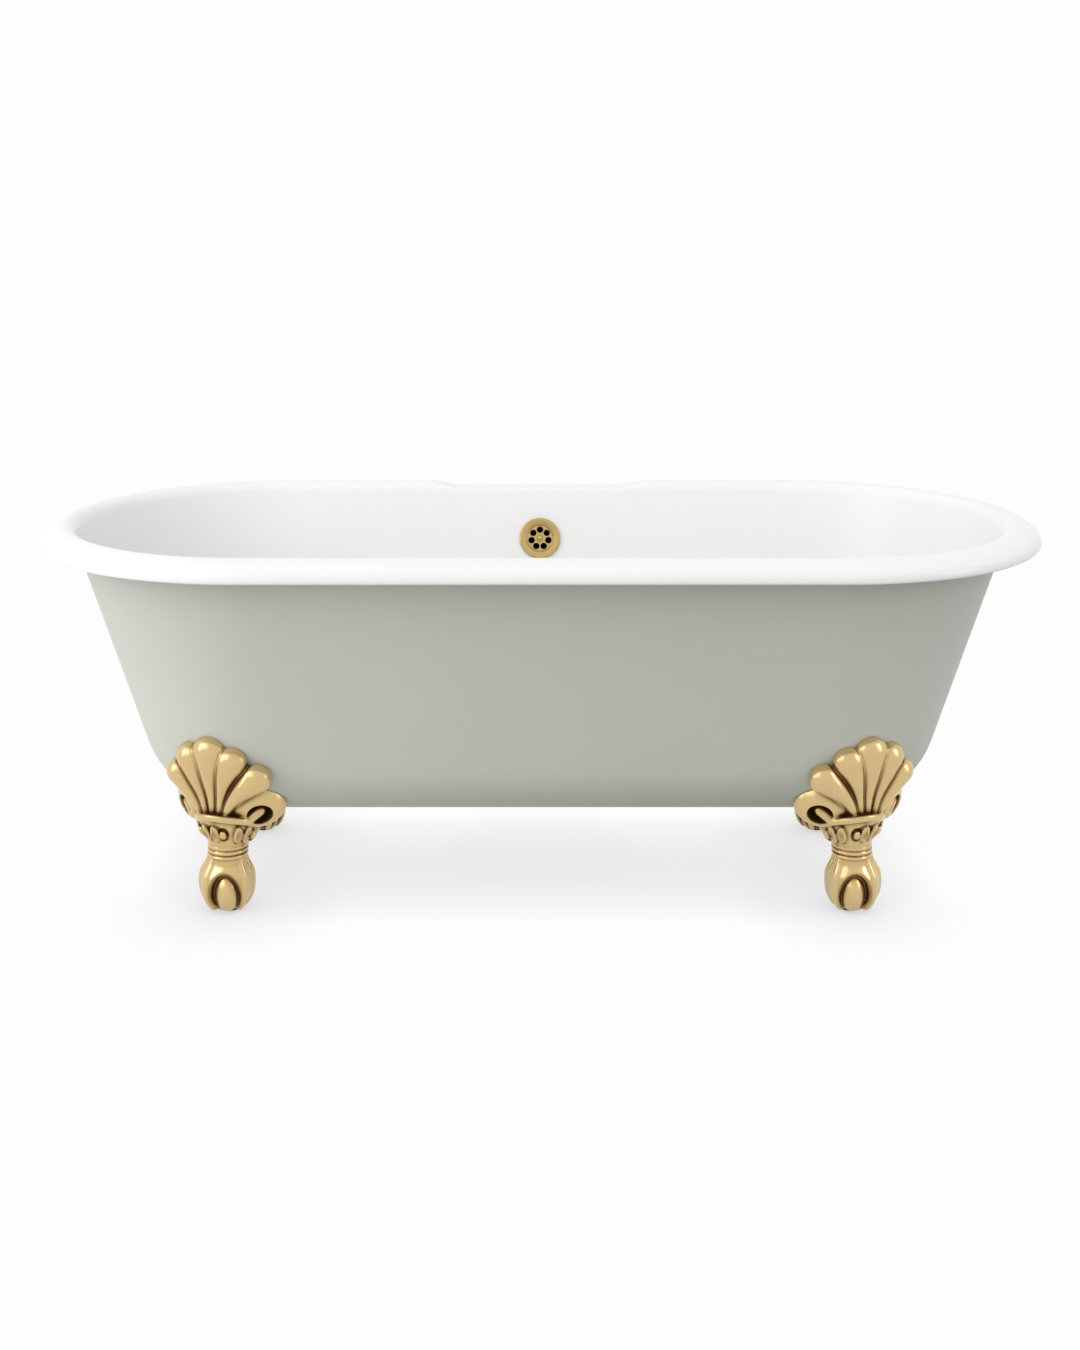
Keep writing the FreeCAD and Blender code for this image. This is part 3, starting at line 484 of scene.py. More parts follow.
def paint_material():
    """Satin paint over ground cast iron."""
    shader = Shader("sage_paint")
    shader.feed("Base Color", shader.blend(shader.noise(6, detail=5), PAINT_DEEP, PAINT_PALE))
    shader.set(Specular_IOR_Level=0.2)
    shader.roughen(60, 0.42, 0.55)
    shader.bump((shader.noise(14, detail=2), 0.1, 0.002), (shader.noise(700, detail=4), 0.06, 0.0004))
    return shader.material


def gold_material():
    """Gold lacquer over cast iron, with a painted highlight making it paler on the swells and painted
    shade making it dark brown in the hollows.
    """
    shader = Shader("gold_lacquer")
    cavity = shader.add("ShaderNodeAttribute", attribute_name="cavity").outputs["Fac"]
    # Painted highlight on the swells and painted shade in the hollows, picked by how hollow each point is
    shade_ramp = shader.add("ShaderNodeValToRGB")
    shader.link(cavity, shade_ramp.inputs["Fac"])
    stops = shade_ramp.color_ramp.elements
    stops[0].color = (*GOLD_PAINTED_HIGHLIGHT, 1)
    stops[1].color = (*GOLD_PAINTED_SHADE, 1)
    stops.new(PAINTED_SHADE_START).color = (*GOLD, 1)
    shader.feed("Base Color", shade_ramp.outputs["Color"])
    shader.set(Metallic=0.75, Coat_Weight=0.35, Coat_Roughness=0.1)
    shader.roughen(70, 0.22, 0.30, detail=4)
    shader.bump((shader.noise(55, detail=2), 0.07, 0.0015), (shader.noise(420, detail=3), 0.05, 0.0004))
    return shader.material


def metal_material(name, colour, roughness):
    """Plain machined metal with fine scratches."""
    shader = Shader(name)
    shader.set(Base_Color=(*colour, 1), Metallic=1.0)
    shader.roughen(150, roughness - 0.06, roughness + 0.08, detail=5)
    shader.bump((shader.noise(600, detail=4), 0.08, 0.0003))
    return shader.material


def bored_brass_material():
    """Brass with painted shade inside the bore behind the overflow, and plain where it faces away from the
    tub.
    """
    shader = Shader("bored_brass")
    axis = back_wall()
    into_tub = axis.col[2].to_3d()
    off_bore = shader.off_line(axis.translation, into_tub)
    # Painted shade inside the bore: near black within its radius, fading out just beyond it
    near = shader.fit(off_bore, 1.0, 0.0, OVERFLOW_BORE, OVERFLOW_BORE + BORE_FADE)
    facing = shader.add("ShaderNodeVectorMath", operation="DOT_PRODUCT")
    shader.link(shader.add("ShaderNodeNewGeometry").outputs["Normal"], facing.inputs[0])
    facing.inputs[1].default_value = into_tub
    inward = shader.fit(facing.outputs["Value"], 0.0, 1.0, *BORE_FACING)
    inside = shader.add("ShaderNodeMath", operation="MULTIPLY")
    shader.link(near, inside.inputs[0])
    shader.link(inward, inside.inputs[1])
    shader.feed("Base Color", shader.blend(inside.outputs[0], BRASS, BORE_PAINTED_SHADE))
    shader.set(Metallic=1.0)
    shader.feed("Roughness", shader.fit(inside.outputs[0], 0.3, 0.7))
    shader.bump((shader.noise(300, detail=4), 0.15, 0.0006))
    return shader.material


def rubber_material():
    """Matt black rubber."""
    shader = Shader("black_rubber")
    shader.feed("Base Color", shader.blend(shader.noise(90), RUBBER_DEEP, RUBBER_PALE))
    shader.set(Roughness=0.75)
    shader.bump((shader.noise(900, detail=3), 0.2, 0.0004))
    return shader.material


enamel = enamel_material()
paint = paint_material()
gold = gold_material()
brass = metal_material("polished_brass", BRASS, BRASS_ROUGHNESS)
bored_brass = bored_brass_material()
steel = metal_material("zinc_steel", ZINC, ZINC_ROUGHNESS)
rubber = rubber_material()


# Tub

def tub_section():
    """The section from the tub's underside, round the rim, to its floor, and where enamel starts."""
    inner_corner = BASE_CORNER - WALL
    outer_roll = RIM_ROLL - WALL
    lean_turn = math.pi - LEAN
    quarter = math.pi / 2
    painted = np.concatenate([
        line((0, BASE_HEIGHT), (FLOOR_HALF, BASE_HEIGHT), 4)[:-1],
        arc(CORNER_CENTRE, BASE_CORNER, -quarter, -LEAN, 18),
        line(WALL_FOOT, ROLL_CENTRE - outer_roll * WALL_OUT, 9)[1:-1],
        arc(ROLL_CENTRE, outer_roll, lean_turn, quarter, 10),
        arc(BROAD_CENTRE, BROAD - WALL, quarter, OVAL_TURN, 7)[1:],
        arc(NOSE_CENTRE, RIM_NOSE - WALL, OVAL_TURN, 0, 6)[1:],
        arc(LIP_CENTRE, LIP_ROUND, -math.pi, -quarter, 5)])
    enamelled = np.concatenate([
        arc(LIP_CENTRE, LIP_ROUND, -quarter, 0, 5)[1:],
        arc(NOSE_CENTRE, RIM_NOSE, 0, OVAL_TURN, 9),
        arc(BROAD_CENTRE, BROAD, OVAL_TURN, quarter, 10)[1:],
        arc(ROLL_CENTRE, RIM_ROLL, quarter, lean_turn, 14)[1:],
        line(ROLL_CENTRE - RIM_ROLL * WALL_OUT, CORNER_CENTRE + inner_corner * WALL_OUT, 12)[1:-1],
        arc(CORNER_CENTRE, inner_corner, -LEAN, -quarter, 18),
        line((FLOOR_HALF, BASE_HEIGHT + WALL), (0, BASE_HEIGHT + WALL), 4)[1:]])
    return np.concatenate([painted, enamelled]), len(painted) - 1


def tub_stations():
    """Where the section stands round the tub: X of its foot, and the direction it faces."""
    quarter = math.pi / 2
    ramp_foot = LEDGE_HALF - 2 * LEDGE_EASE
    back = np.concatenate([line(END_CENTRE, RAMP_TOP, 14), line(RAMP_TOP, ramp_foot, 24)[1:],
                           line(ramp_foot, 0, 10)[1:]])
    back = np.concatenate([back, -back[-2::-1]])
    rows = [(x, -quarter) for x in line(-END_CENTRE, END_CENTRE, 40)]
    rows += [(END_CENTRE, turn) for turn in line(-quarter, quarter, 66)[1:-1]]
    rows += [(x, quarter) for x in back]
    rows += [(-END_CENTRE, turn) for turn in line(quarter, 3 * quarter, 66)[1:-1]]
    return np.array(rows)


def lowered_to_ledge(x, heights, under):
    """Bring a section of the back rim down to the tap ledge."""
    rise = smooth_step(LEDGE_HALF - LEDGE_EASE, RAMP_TOP, abs(x))
    limit = RIM_HEIGHT - LEDGE_DROP * (1 - rise) - WALL * under
    softness = max(LEDGE_SOFTNESS * (1 - rise), 10 * TINY)
    # A rounded crossing lies a quarter of its blend under the crossing itself
    return smooth_min(heights, limit + softness / 4, softness)


def tub_mesh():
    """The tub's shell with its rolled rim, enamelled inside and painted outside."""
    section, enamel_start = tub_section()
    under = np.arange(len(section)) < enamel_start
    stations = tub_stations()
    points = []
    for x, turn in stations:
        heights = section[:, 1]
        if abs(turn - math.pi / 2) < TINY and abs(x) < RAMP_TOP:
            heights = lowered_to_ledge(x, heights, under)
        out = section[:, 0]
        points.append(np.stack([x + out * math.cos(turn), out * math.sin(turn), heights], axis=1))
    faces = ring_faces(len(stations), len(section))
    tub = add_mesh("tub_shell_cast", np.concatenate(points), faces, [paint, enamel])
    whites = [int(j >= enamel_start) for _ in stations for j in range(len(section) - 1)]
    tub.data.polygons.foreach_set("material_index", whites)
    tidy_mesh(tub, TUB_CREASE)
    return tub


def under_bolt(place, radius, height):
    """A cylinder that rises over a foot's bolt from the face of its boss."""
    middle = BASE_HEIGHT - BOSS_DROP + height / 2
    return peg(radius, height, Matrix.Translation(place @ Vector((BOLT_REACH, 0, middle))))


def tub_shell():
    """The cast tub with a boss for each foot and its holes for bolts, waste and overflow."""
    tub = tub_mesh()
    places = foot_places().values()
    bosses = [under_bolt(place, BOSS_RADIUS, BOSS_DROP + WALL / 2) for place in places]
    combine(tub, bosses, "UNION")
    holes = [under_bolt(place, BOLT_HOLE, BOSS_DROP) for place in places]
    holes.append(peg(WASTE_HOLE, CUT_DEPTH, Matrix.Translation((0, WASTE_Y, BASE_HEIGHT))))
    holes.append(peg(OVERFLOW_HOLE, CUT_DEPTH, back_wall()))
    combine(tub, holes, "DIFFERENCE")
    tub.data.set_sharp_from_angle(angle=math.radians(TUB_CREASE))
    return tub


def wall_reach(height):
    """How far the tub's outside stands from its middle line at each height."""
    below = CORNER_CENTRE[1] - height
    corner = FLOOR_HALF + np.sqrt(np.clip(BASE_CORNER ** 2 - below ** 2, 0, None))
    return np.where(height < WALL_FOOT[1], corner, WALL_FOOT[0] + (height - WALL_FOOT[1]) * math.tan(LEAN))


# Feet

class Carving:
    """A block of voxels that shapes are added to and cut from, as signed distances."""

    def __init__(self, low, high, step):
        self.low = np.array(low)
        self.step = step
        self.count = np.ceil((np.array(high) - self.low) / step).astype(int) + 1
        self.field = np.full(self.count, EMPTY, np.float32)

    def near(self, centre, reach):
        """The voxels in a box, as slices and as coordinates."""
        first = np.clip(np.floor((centre - reach - self.low) / self.step).astype(int), 0, self.count)
        last = np.clip(np.ceil((centre + reach - self.low) / self.step).astype(int) + 1, 0, self.count)
        part = tuple(slice(a, b) for a, b in zip(first, last))
        axes = [self.low[i] + self.step * np.arange(first[i], last[i]) for i in range(3)]
        return part, np.meshgrid(*axes, indexing="ij", sparse=True)

    def add(self, centre, reach, distance, blend=0.0):
        """Join a shape to the block, in a box round it."""
        part, place = self.near(np.array(centre), np.array(reach))
        self.field[part] = smooth_min(self.field[part], distance(*place), blend)

    def cut(self, centre, reach, distance, blend=0.0):
        """Take a shape out of the block, in a box round it."""
        part, place = self.near(np.array(centre), np.array(reach))
        self.field[part] = -smooth_min(-self.field[part], distance(*place), blend)

    def whole(self):
        """The middle of the block, and its reach from there."""
        half = self.step * (self.count - 1) / 2
        return self.low + half, half

    def blank(self):
        """An empty block on the same voxels."""
        return Carving(self.low, self.low + self.step * (self.count - 1), self.step)

    def merge(self, other, blend):
        self.field = smooth_min(self.field, other.field, blend)

    def sample(self, points):
        """The distance at loose points, read between the voxels."""
        just_inside = self.count - 1.001
        place = np.clip((points - self.low) / self.step, 0, just_inside)
        base = place.astype(int)
        share = place - base
        total = np.zeros(len(points))
        for corner in np.ndindex(2, 2, 2):
            weight = np.prod(np.where(corner, share, 1 - share), axis=1)
            total += weight * self.field[tuple((base + corner).T)]
        return total


def ellipsoid(centre, radii, axes=np.eye(3)):
    """The distance to an ellipsoid whose axes are the rows given."""
    def distance(x, y, z):
        offset = (x - centre[0], y - centre[1], z - centre[2])
        along = [sum(axis[i] * offset[i] for i in range(3)) for axis in axes]
        near = np.sqrt(sum((a / r) ** 2 for a, r in zip(along, radii)))
        steep = np.sqrt(sum((a / r ** 2) ** 2 for a, r in zip(along, radii)))
        return near * (near - 1) / np.maximum(steep, TINY)
    return distance


def add_ellipsoid(block, centre, radii, axes=np.eye(3), blend=0.0):
    block.add(centre, np.full(3, max(radii) + SHAPE_MARGIN), ellipsoid(centre, radii, axes), blend)


def cut_ellipsoid(block, centre, radii, axes=np.eye(3), blend=0.0):
    block.cut(centre, np.full(3, max(radii) + SHAPE_MARGIN), ellipsoid(centre, radii, axes), blend)


def round_curve(points, count=80):
    """A smooth curve of height and radius through a few points."""
    heights, radii = np.array(points).T
    slopes = np.gradient(radii, heights)
    dense = np.linspace(heights[0], heights[-1], count)
    span = np.clip(np.searchsorted(heights, dense, side="right") - 1, 0, len(heights) - 2)
    step = heights[span + 1] - heights[span]
    t = (dense - heights[span]) / step
    value = ((1 + 2 * t) * (1 - t) ** 2 * radii[span] + t * (1 - t) ** 2 * step * slopes[span]
             + t * t * (3 - 2 * t) * radii[span + 1] + t * t * (t - 1) * step * slopes[span + 1])
    return dense, value


def axis_offset(height):
    """Where the foot's upright axis stands at each height: it leans a little toward the tub's middle."""
    lean = FOOT_LEAN * (smooth_step(FOOT_LEAN_LOW, FOOT_LEAN_HIGH, height) - FOOT_LEAN_SHARE)
    return FOOT_AXIS + lean * math.cos(FOOT_INWARD), lean * math.sin(FOOT_INWARD)


def off_axis(x, y, z):
    """How far points lie from the foot's axis, level with them."""
    axis_x, axis_y = axis_offset(z)
    return np.sqrt((x - axis_x) ** 2 + (y - axis_y) ** 2)


def on_axis(turn, out, height):
    """A point round the foot's own axis."""
    axis_x, axis_y = axis_offset(height)
    return np.array([axis_x + out * math.cos(turn), axis_y + out * math.sin(turn), height])


def add_turned(block, points, blend=0.0, level_of=None):
    """A solid turned about the foot's axis from points of height and radius."""
    heights, radii = round_curve(points)
    low, high = heights[0], heights[-1]

    def distance(x, y, z):
        level = z if level_of is None else level_of(x, y, z)
        side = (off_axis(x, y, z) - np.interp(level, heights, radii)) * TURNED_STEEPNESS
        return np.maximum(side, np.maximum(low - level, level - high))
    out = max(radii) + TURNED_MARGIN
    reach = (out, out, (high - low) / 2 + 2 * TURNED_MARGIN)
    block.add((FOOT_AXIS, 0, (low + high) / 2), reach, distance, blend)


def round_axes(turn):
    """Outward, sideways and upward directions round an upright axis."""
    return np.array([(math.cos(turn), math.sin(turn), 0), (-math.sin(turn), math.cos(turn), 0), (0, 0, 1)])


def fan_reach(height):
    """How far out the fan's sheet stands: upright over the collar, then along the tub's wall."""
    upright = FAN_REACH - FAN_LEAN * (height - FAN_FOOT)
    return -smooth_min(-upright, -(wall_reach(height) + FAN_STANDOFF), FAN_BEND)


def on_fan(across, height):
    """A point on the fan's sheet, round the tub's end then along its side, with the sheet's own axes."""
    turn = min(across / LOBE_SPREAD, FOOT_TURN)
    along = across - turn * LOBE_SPREAD
    slope = (fan_reach(height + SLOPE_STEP) - fan_reach(height - SLOPE_STEP)) / (2 * SLOPE_STEP)
    radial, sideways, vertical = round_axes(turn)
    upward = (radial * slope + vertical) / math.hypot(slope, 1)
    spot = radial * fan_reach(height) + sideways * along + vertical * height
    return spot, np.array([np.cross(sideways, upward), sideways, upward])


def add_petal(block, tip, half_width, stem, elbow):
    """One petal of the shell, from its thin stem on the collar to its rounded tip on the tub."""
    start = np.array([stem, STEM_HEIGHT])
    toward = (tip - elbow) / np.linalg.norm(tip - elbow)
    end = tip - half_width * toward
    petal = block.blank()
    for t in np.linspace(0, 1, PETAL_STEPS):
        across, height = (1 - t) ** 2 * start + 2 * t * (1 - t) * elbow + t * t * end
        width = STEM_HALF + (half_width - STEM_HALF) * t ** PETAL_WIDENING
        depth = STEM_DEPTH + PETAL_SWELL * smooth_step(0, PETAL_SWELL_END, t)
        centre, axes = on_fan(across, height)
        add_ellipsoid(petal, centre, (depth, width, width), axes)
    block.merge(petal, blend=0.002)


def add_fan(block):
    """The shell's five petals on a solid saddle."""
    add_ellipsoid(block, SADDLE_CENTRE, SADDLE_RADII, blend=0.006)
    for turn, height, half_width, stem, elbow in PETALS:
        tip = np.array([LOBE_SPREAD * math.radians(turn), height])
        add_petal(block, tip, half_width, stem, np.array(elbow))


def add_volute(block, side):
    """The scroll beside the fan: a rounded disc with a hollow eye and a curled end in it."""
    facing, flat, upward = round_axes(side * VOLUTE_TURN)
    along = side * flat
    axes = np.array([facing, along, upward])
    centre = np.array([FOOT_AXIS - VOLUTE_INSET, side * VOLUTE_SPREAD, VOLUTE_HEIGHT])
    add_ellipsoid(block, centre, VOLUTE_RADII, axes, blend=0.003)
    eye = centre + EYE_ALONG * along - EYE_DROP * upward
    cut_ellipsoid(block, eye + EYE_OUT * facing, EYE_RADII, axes, blend=0.003)
    for share in np.linspace(0, 1, CURL_STEPS):
        shift, rise = CURL_START + CURL_RUN * share
        spot = eye + shift * along + rise * upward + CURL_OUT * facing
        add_ellipsoid(block, spot, CURL_RADII, axes, blend=0.003)


def collar_level(x, y, z):
    """Height measured on the collar, whose rim rises outward."""
    tilt = COLLAR_TILT * smooth_step(COLLAR_TILT_LOW, COLLAR_TILT_HIGH, z)
    return z - tilt * (x - FOOT_AXIS)


def collar_lip(x, y, z):
    """The distance to the rounded lip round the collar's top."""
    out = off_axis(x, y, z) - (COLLAR_RADIUS - COLLAR_LIP_INSET)
    level = collar_level(x, y, z) - (COLLAR_TOP - COLLAR_LIP_DROP)
    return np.sqrt(out ** 2 + (level * COLLAR_LIP_STRETCH) ** 2) - COLLAR_LIP_ROUND


def add_collar(block):
    """The flared collar with its lip, beads and leaves."""
    add_turned(block, COLLAR_CURVE, blend=0.002, level_of=collar_level)
    block.add(*COLLAR_LIP_BOX, collar_lip, blend=0.0015)
    add_ellipsoid(block, COLLAR_CAP_CENTRE, COLLAR_CAP_RADII, blend=0.004)
    for number in range(BEAD_COUNT):
        pitch = 360 / BEAD_COUNT * number
        add_collar_bead(block, math.radians(BEAD_TURN + pitch))
        for side in (-1, 1):
            add_collar_leaf(block, math.radians(LEAF_TURN + pitch + LEAF_SPLAY * side))


def on_flare(turn, height):
    """A point on the collar's flare, with its outward, sideways and upward axes."""
    radial, sideways, vertical = round_axes(turn)
    upward = math.sin(FLARE) * radial + math.cos(FLARE) * vertical
    lift = COLLAR_TILT * ORNAMENT_TILT_SHARE * ORNAMENT_REACH * math.cos(turn)
    spot = on_axis(turn, FLARE_RADIUS + (height - FLARE_LOW) * math.tan(FLARE), height + lift)
    return spot, np.array([np.cross(sideways, upward), sideways, upward])


def add_collar_bead(block, turn):
    """A bead in a hollow drop."""
    spot, axes = on_flare(turn, ORNAMENT_HEIGHT)
    cut_ellipsoid(block, spot, BEAD_HOLLOW, axes, blend=0.002)
    add_ellipsoid(block, spot, BEAD_RADII, axes, blend=0.0005)


def add_collar_leaf(block, turn):
    """A leaf with a hollow middle, from under the lip to the neck."""
    spot, axes = on_flare(turn, ORNAMENT_HEIGHT)
    add_ellipsoid(block, spot, LEAF_RADII, axes, blend=0.001)
    groove = spot + GROOVE_OUT * axes[0] + GROOVE_RISE * axes[2]
    cut_ellipsoid(block, groove, GROOVE_RADII, axes, blend=0.001)


def toe_gaps():
    """The middle and half the width of each gap between toes, as angles."""
    following = TOES[1:] + ((TOES[0][0] + 360, TOES[0][1]),)
    gaps = []
    for (turn, half), (next_turn, next_half) in zip(TOES, following):
        start = turn + half
        end = next_turn - next_half
        gaps.append((math.radians((start + end) / 2), math.radians((end - start) / 2)))
    return gaps


def add_finger(block, turn):
    """A raised toe that follows the claw's curve."""
    heights, radii = round_curve(CLAW_CURVE)
    for height in np.linspace(FINGER_LOW, FINGER_HIGH, FINGER_STEPS):
        width = FINGER_HALF + FINGER_SWELL * math.sin(math.pi * height / FINGER_SPAN)
        spot = on_axis(turn, np.interp(height, heights, radii) - FINGER_INSET, height)
        add_ellipsoid(block, spot, (FINGER_DEPTH, width, FINGER_TALL), round_axes(turn), blend=0.003)


def add_claw(block):
    """The paw whose toes grip an egg."""
    add_turned(block, CLAW_CURVE)
    for turn in map(math.radians, FINGERS):
        add_finger(block, turn)
    for turn, half in toe_gaps():
        radii = (GAP_DEPTH, CLAW_RADIUS * math.sin(half), GAP_TALL)
        cut_ellipsoid(block, on_axis(turn, GAP_OUT, GAP_HEIGHT), radii, round_axes(turn), blend=0.006)
    add_turned(block, CORE_CURVE, blend=0.001)
    for turn, half in toe_gaps():
        egg_turn = turn + EGG_SHIFT * half
        radii = (EGG_DEPTH, EGG_SHARE * CLAW_RADIUS * math.sin(half), EGG_TALL)
        spot = on_axis(egg_turn, EGG_OUT, EGG_HEIGHT)
        add_ellipsoid(block, spot, radii, round_axes(egg_turn), blend=0.0005)


def add_neck(block):
    """The neck over the claw, with its rings."""
    add_turned(block, ((NECK_LOW, NECK_RADIUS), (NECK_HIGH, NECK_RADIUS)), blend=0.003)
    for height in NECK_RINGS:
        def hoop(x, y, z, level=height):
            return np.sqrt((off_axis(x, y, z) - NECK_RADIUS) ** 2 + (z - level) ** 2) - RING_ROUND
        block.add((FOOT_AXIS, 0, height), RING_REACH, hoop)


def tongue(x, y, z):
    """The distance to the tongue that is bolted under the tub."""
    flat = np.maximum(np.abs(x - TONGUE_MIDDLE) - TONGUE_HALF[0], np.abs(y) - TONGUE_HALF[1])
    return np.maximum(flat, np.abs(z - TONGUE_HEIGHT) - TONGUE_HALF[2])


def seated_tub(x, y, z):
    """The distance to the tub's round end and straight side, with the gap that a foot keeps from them."""
    past_end = np.maximum(x * math.sin(FOOT_TURN) - y * math.cos(FOOT_TURN), 0)
    out = np.hypot(past_end, x * math.cos(FOOT_TURN) + y * math.sin(FOOT_TURN))
    wall = (wall_reach(z) - out) * math.cos(LEAN)
    corner = BASE_CORNER - np.hypot(np.maximum(out - FLOOR_HALF, 0), CORNER_CENTRE[1] - z)
    base = np.where(out > FLOOR_HALF, corner, z - BASE_HEIGHT)
    return -np.where(z > WALL_FOOT[1], wall, base) - SEAT_GAP


def bolt_hole(x, y, _):
    """The distance to the bolt's hole through the tongue."""
    return np.hypot(x - BOLT_REACH, y) - FOOT_HOLE


def screw_hole(x, y, z):
    """The distance to the levelling screw's hole up from the sole."""
    return np.maximum(np.hypot(x - FOOT_AXIS, y) - FOOT_HOLE, z - SCREW_TOP)


def under_sole(_x, _y, z):
    """The distance to all that lies under the sole."""
    return z - SOLE_HEIGHT


def fit_to_frame(block):
    """Keep the foot off the tub, and give it the frame's tongue, bolt hole, screw hole and sole."""
    block.add(*TONGUE_BOX, tongue)
    block.cut(*block.whole(), seated_tub)
    block.cut(*BOLT_BOX, bolt_hole)
    block.cut(*SCREW_BOX, screw_hole)
    block.cut(*block.whole(), under_sole)


def carve_foot():
    """A foot's block, with everything carved from the floor up."""
    block = Carving(BLOCK_LOW, BLOCK_HIGH, FOOT_STEP)
    add_claw(block)
    add_neck(block)
    add_collar(block)
    add_fan(block)
    for side in (-1, 1):
        add_volute(block, side)
    fit_to_frame(block)
    return block


def foot_mesh():
    """The foot's surface, with a measure of how hollow each point is."""
    block = carve_foot()
    grid = openvdb.FloatGrid(EMPTY)
    grid.copyFromArray(block.field)
    points, quads = grid.convertToQuads(isovalue=0.0)
    foot = add_mesh("foot_cast", block.low + points * block.step, quads, [gold])
    tidy_mesh(foot, NO_CREASE)
    mesh = foot.data
    places = np.array([v.co for v in mesh.vertices])
    normals = np.array([v.normal for v in mesh.vertices])
    # How hollow each point is, which the gold turns into painted shade in the hollows and a painted
    # highlight on the swells
    hollow = np.zeros(len(places))
    for reach in HOLLOW_REACHES:
        hollow += np.clip(1 - block.sample(places + normals * reach) / reach, 0, 1) / len(HOLLOW_REACHES)
    attribute = mesh.attributes.new("cavity", "FLOAT", "POINT")
    attribute.data.foreach_set("value", smooth_step(0.0, HOLLOW_FULL, hollow).astype(np.float32))
    return foot


def feet():
    """Four copies of the one casting, turned and mirrored to the tub's corners."""
    first = foot_mesh()
    shape = first.data
    bpy.data.objects.remove(first)
    made = {}
    for name, place in foot_places().items():
        mesh = shape.copy()
        mesh.transform(place)
        if place.determinant() < 0:
            mesh.flip_normals()
        made[name] = bpy.data.objects.new(name + "_cast", mesh)
        bpy.context.scene.collection.objects.link(made[name])
    return made


# Overflow

def grille_profile():
    """Half of the grille's section: its back, brim, sloping bezel, bead and plate."""
    return np.concatenate([
        [(GRILLE_SCREW_HOLE, 0.0), (GRILLE_RADIUS, 0.0)],
        arc((GRILLE_RADIUS - BRIM_ROUND, BRIM_HEIGHT - BRIM_ROUND), BRIM_ROUND, 0, math.pi / 2, 7),
        [(GRILLE_RADIUS - BEZEL_INSET, BRIM_HEIGHT - BEZEL_DIP)],
        [(PLATE_RADIUS + PLATE_BEAD_HALF, PLATE_HEIGHT + BEZEL_STEP)],
        arc((PLATE_RADIUS, PLATE_HEIGHT + PLATE_BEAD_RISE), PLATE_BEAD, 0, math.pi, 7),
        [(PLATE_RADIUS - PLATE_BEAD_HALF, PLATE_HEIGHT)],
        [(GRILLE_SCREW_HOLE, PLATE_HEIGHT), (GRILLE_SCREW_HOLE, 0.0)]])


def overflow_face():
    """The grille: a sloping bezel round a flat plate with a ring of holes."""
    face = lathe("overflow_grille", grille_profile(), [brass])
    tidy_mesh(face, GRILLE_CREASE)
    holes = []
    for number in range(GRILLE_HOLES):
        turn = math.pi / 2 + 2 * math.pi * number / GRILLE_HOLES
        spot = (GRILLE_HOLES_ON * math.cos(turn), GRILLE_HOLES_ON * math.sin(turn), 0)
        holes.append(peg(GRILLE_HOLE, CUT_DEPTH, Matrix.Translation(spot)))
    combine(face, holes, "DIFFERENCE")
    face.data.set_sharp_from_angle(angle=math.radians(GRILLE_CREASE))
    face.data.transform(back_wall())
    return face


# Stage, lights and camera

WHITE = 0.985
PAPER_SIZE = 40
PAPER_SPREAD = 0.9
PAPER_LEFT = (0.73, 0.73, 0.73)
PAPER_RIGHT = (0.32, 0.32, 0.32)
PAPER_SHADED = 0.58
SHADE_REACH = 0.20
ROOM_LIGHT_FROM = Vector((-0.58, -0.64, 0.50)).normalized()
ROOM_LIGHT_START = -0.3
ROOM_DARK = 0.70
ROOM_LIGHT = 1.22
KEY_PLACE = (-2.6, -2.4, 2.3)
KEY_TARGET = (0, 0, 0.4)
KEY_SIZE = 2.2
KEY_POWER = 20
STRIP_PLACE = Vector((1.6, -0.7, 0.6))
STRIP_TARGET = Vector((1.0, -0.45, 0))
STRIP_WIDTH = 0.3
STRIP_HEIGHT = 0.9
STRIP_POWER = 1.3
STRIP_SPREAD = math.radians(100)
CAMERA_PLACE = (0, -2.9, 1.2142)
CAMERA_DIP = 16.392
CAMERA_LENS = 45.611


def background_rays(tree):
    """1 on the rays that show the background: the camera's, and those that metal and glass send on."""
    rays = tree.nodes.new("ShaderNodeLightPath")
    seen = rays.outputs["Is Camera Ray"]
    for name in ("Is Glossy Ray", "Is Transmission Ray"):
        either = tree.nodes.new("ShaderNodeMath")
        either.operation = "MAXIMUM"
        tree.links.new(seen, either.inputs[0])
        tree.links.new(rays.outputs[name], either.inputs[1])
        seen = either.outputs[0]
    return seen


def stage_material():
    """White paper: it shows white with soft contact shade, and lights the bath most from the left."""
    shader = Shader("white_paper")
    paper = shader.add("ShaderNodeBsdfDiffuse")
    place = shader.add("ShaderNodeSeparateXYZ")
    shader.link(shader.add("ShaderNodeNewGeometry").outputs["Position"], place.inputs[0])
    spread = shader.fit(place.outputs["X"], 0.0, 1.0, -PAPER_SPREAD, PAPER_SPREAD)
    shader.link(shader.blend(spread, PAPER_LEFT, PAPER_RIGHT), paper.inputs["Color"])
    openness = shader.add("ShaderNodeAmbientOcclusion", Distance=SHADE_REACH, samples=32)
    seen = shader.add("ShaderNodeEmission", Color=(1, 1, 1, 1))
    shader.link(shader.fit(openness.outputs["AO"], PAPER_SHADED, WHITE), seen.inputs["Strength"])
    lookup = shader.add("ShaderNodeMixShader")
    shader.link(background_rays(shader.material.node_tree), lookup.inputs[0])
    shader.link(paper.outputs[0], lookup.inputs[1])
    shader.link(seen.outputs[0], lookup.inputs[2])
    shader.link(lookup.outputs[0], shader.output.inputs["Surface"])
    return shader.material


def add_stage():
    """A wide sheet of paper under the bath."""
    corners = [(x * PAPER_SIZE, y * PAPER_SIZE, 0) for x, y in ((-1, -1), (1, -1), (1, 1), (-1, 1))]
    floor = add_mesh("paper_floor", corners, [(0, 1, 2, 3)], [stage_material()])


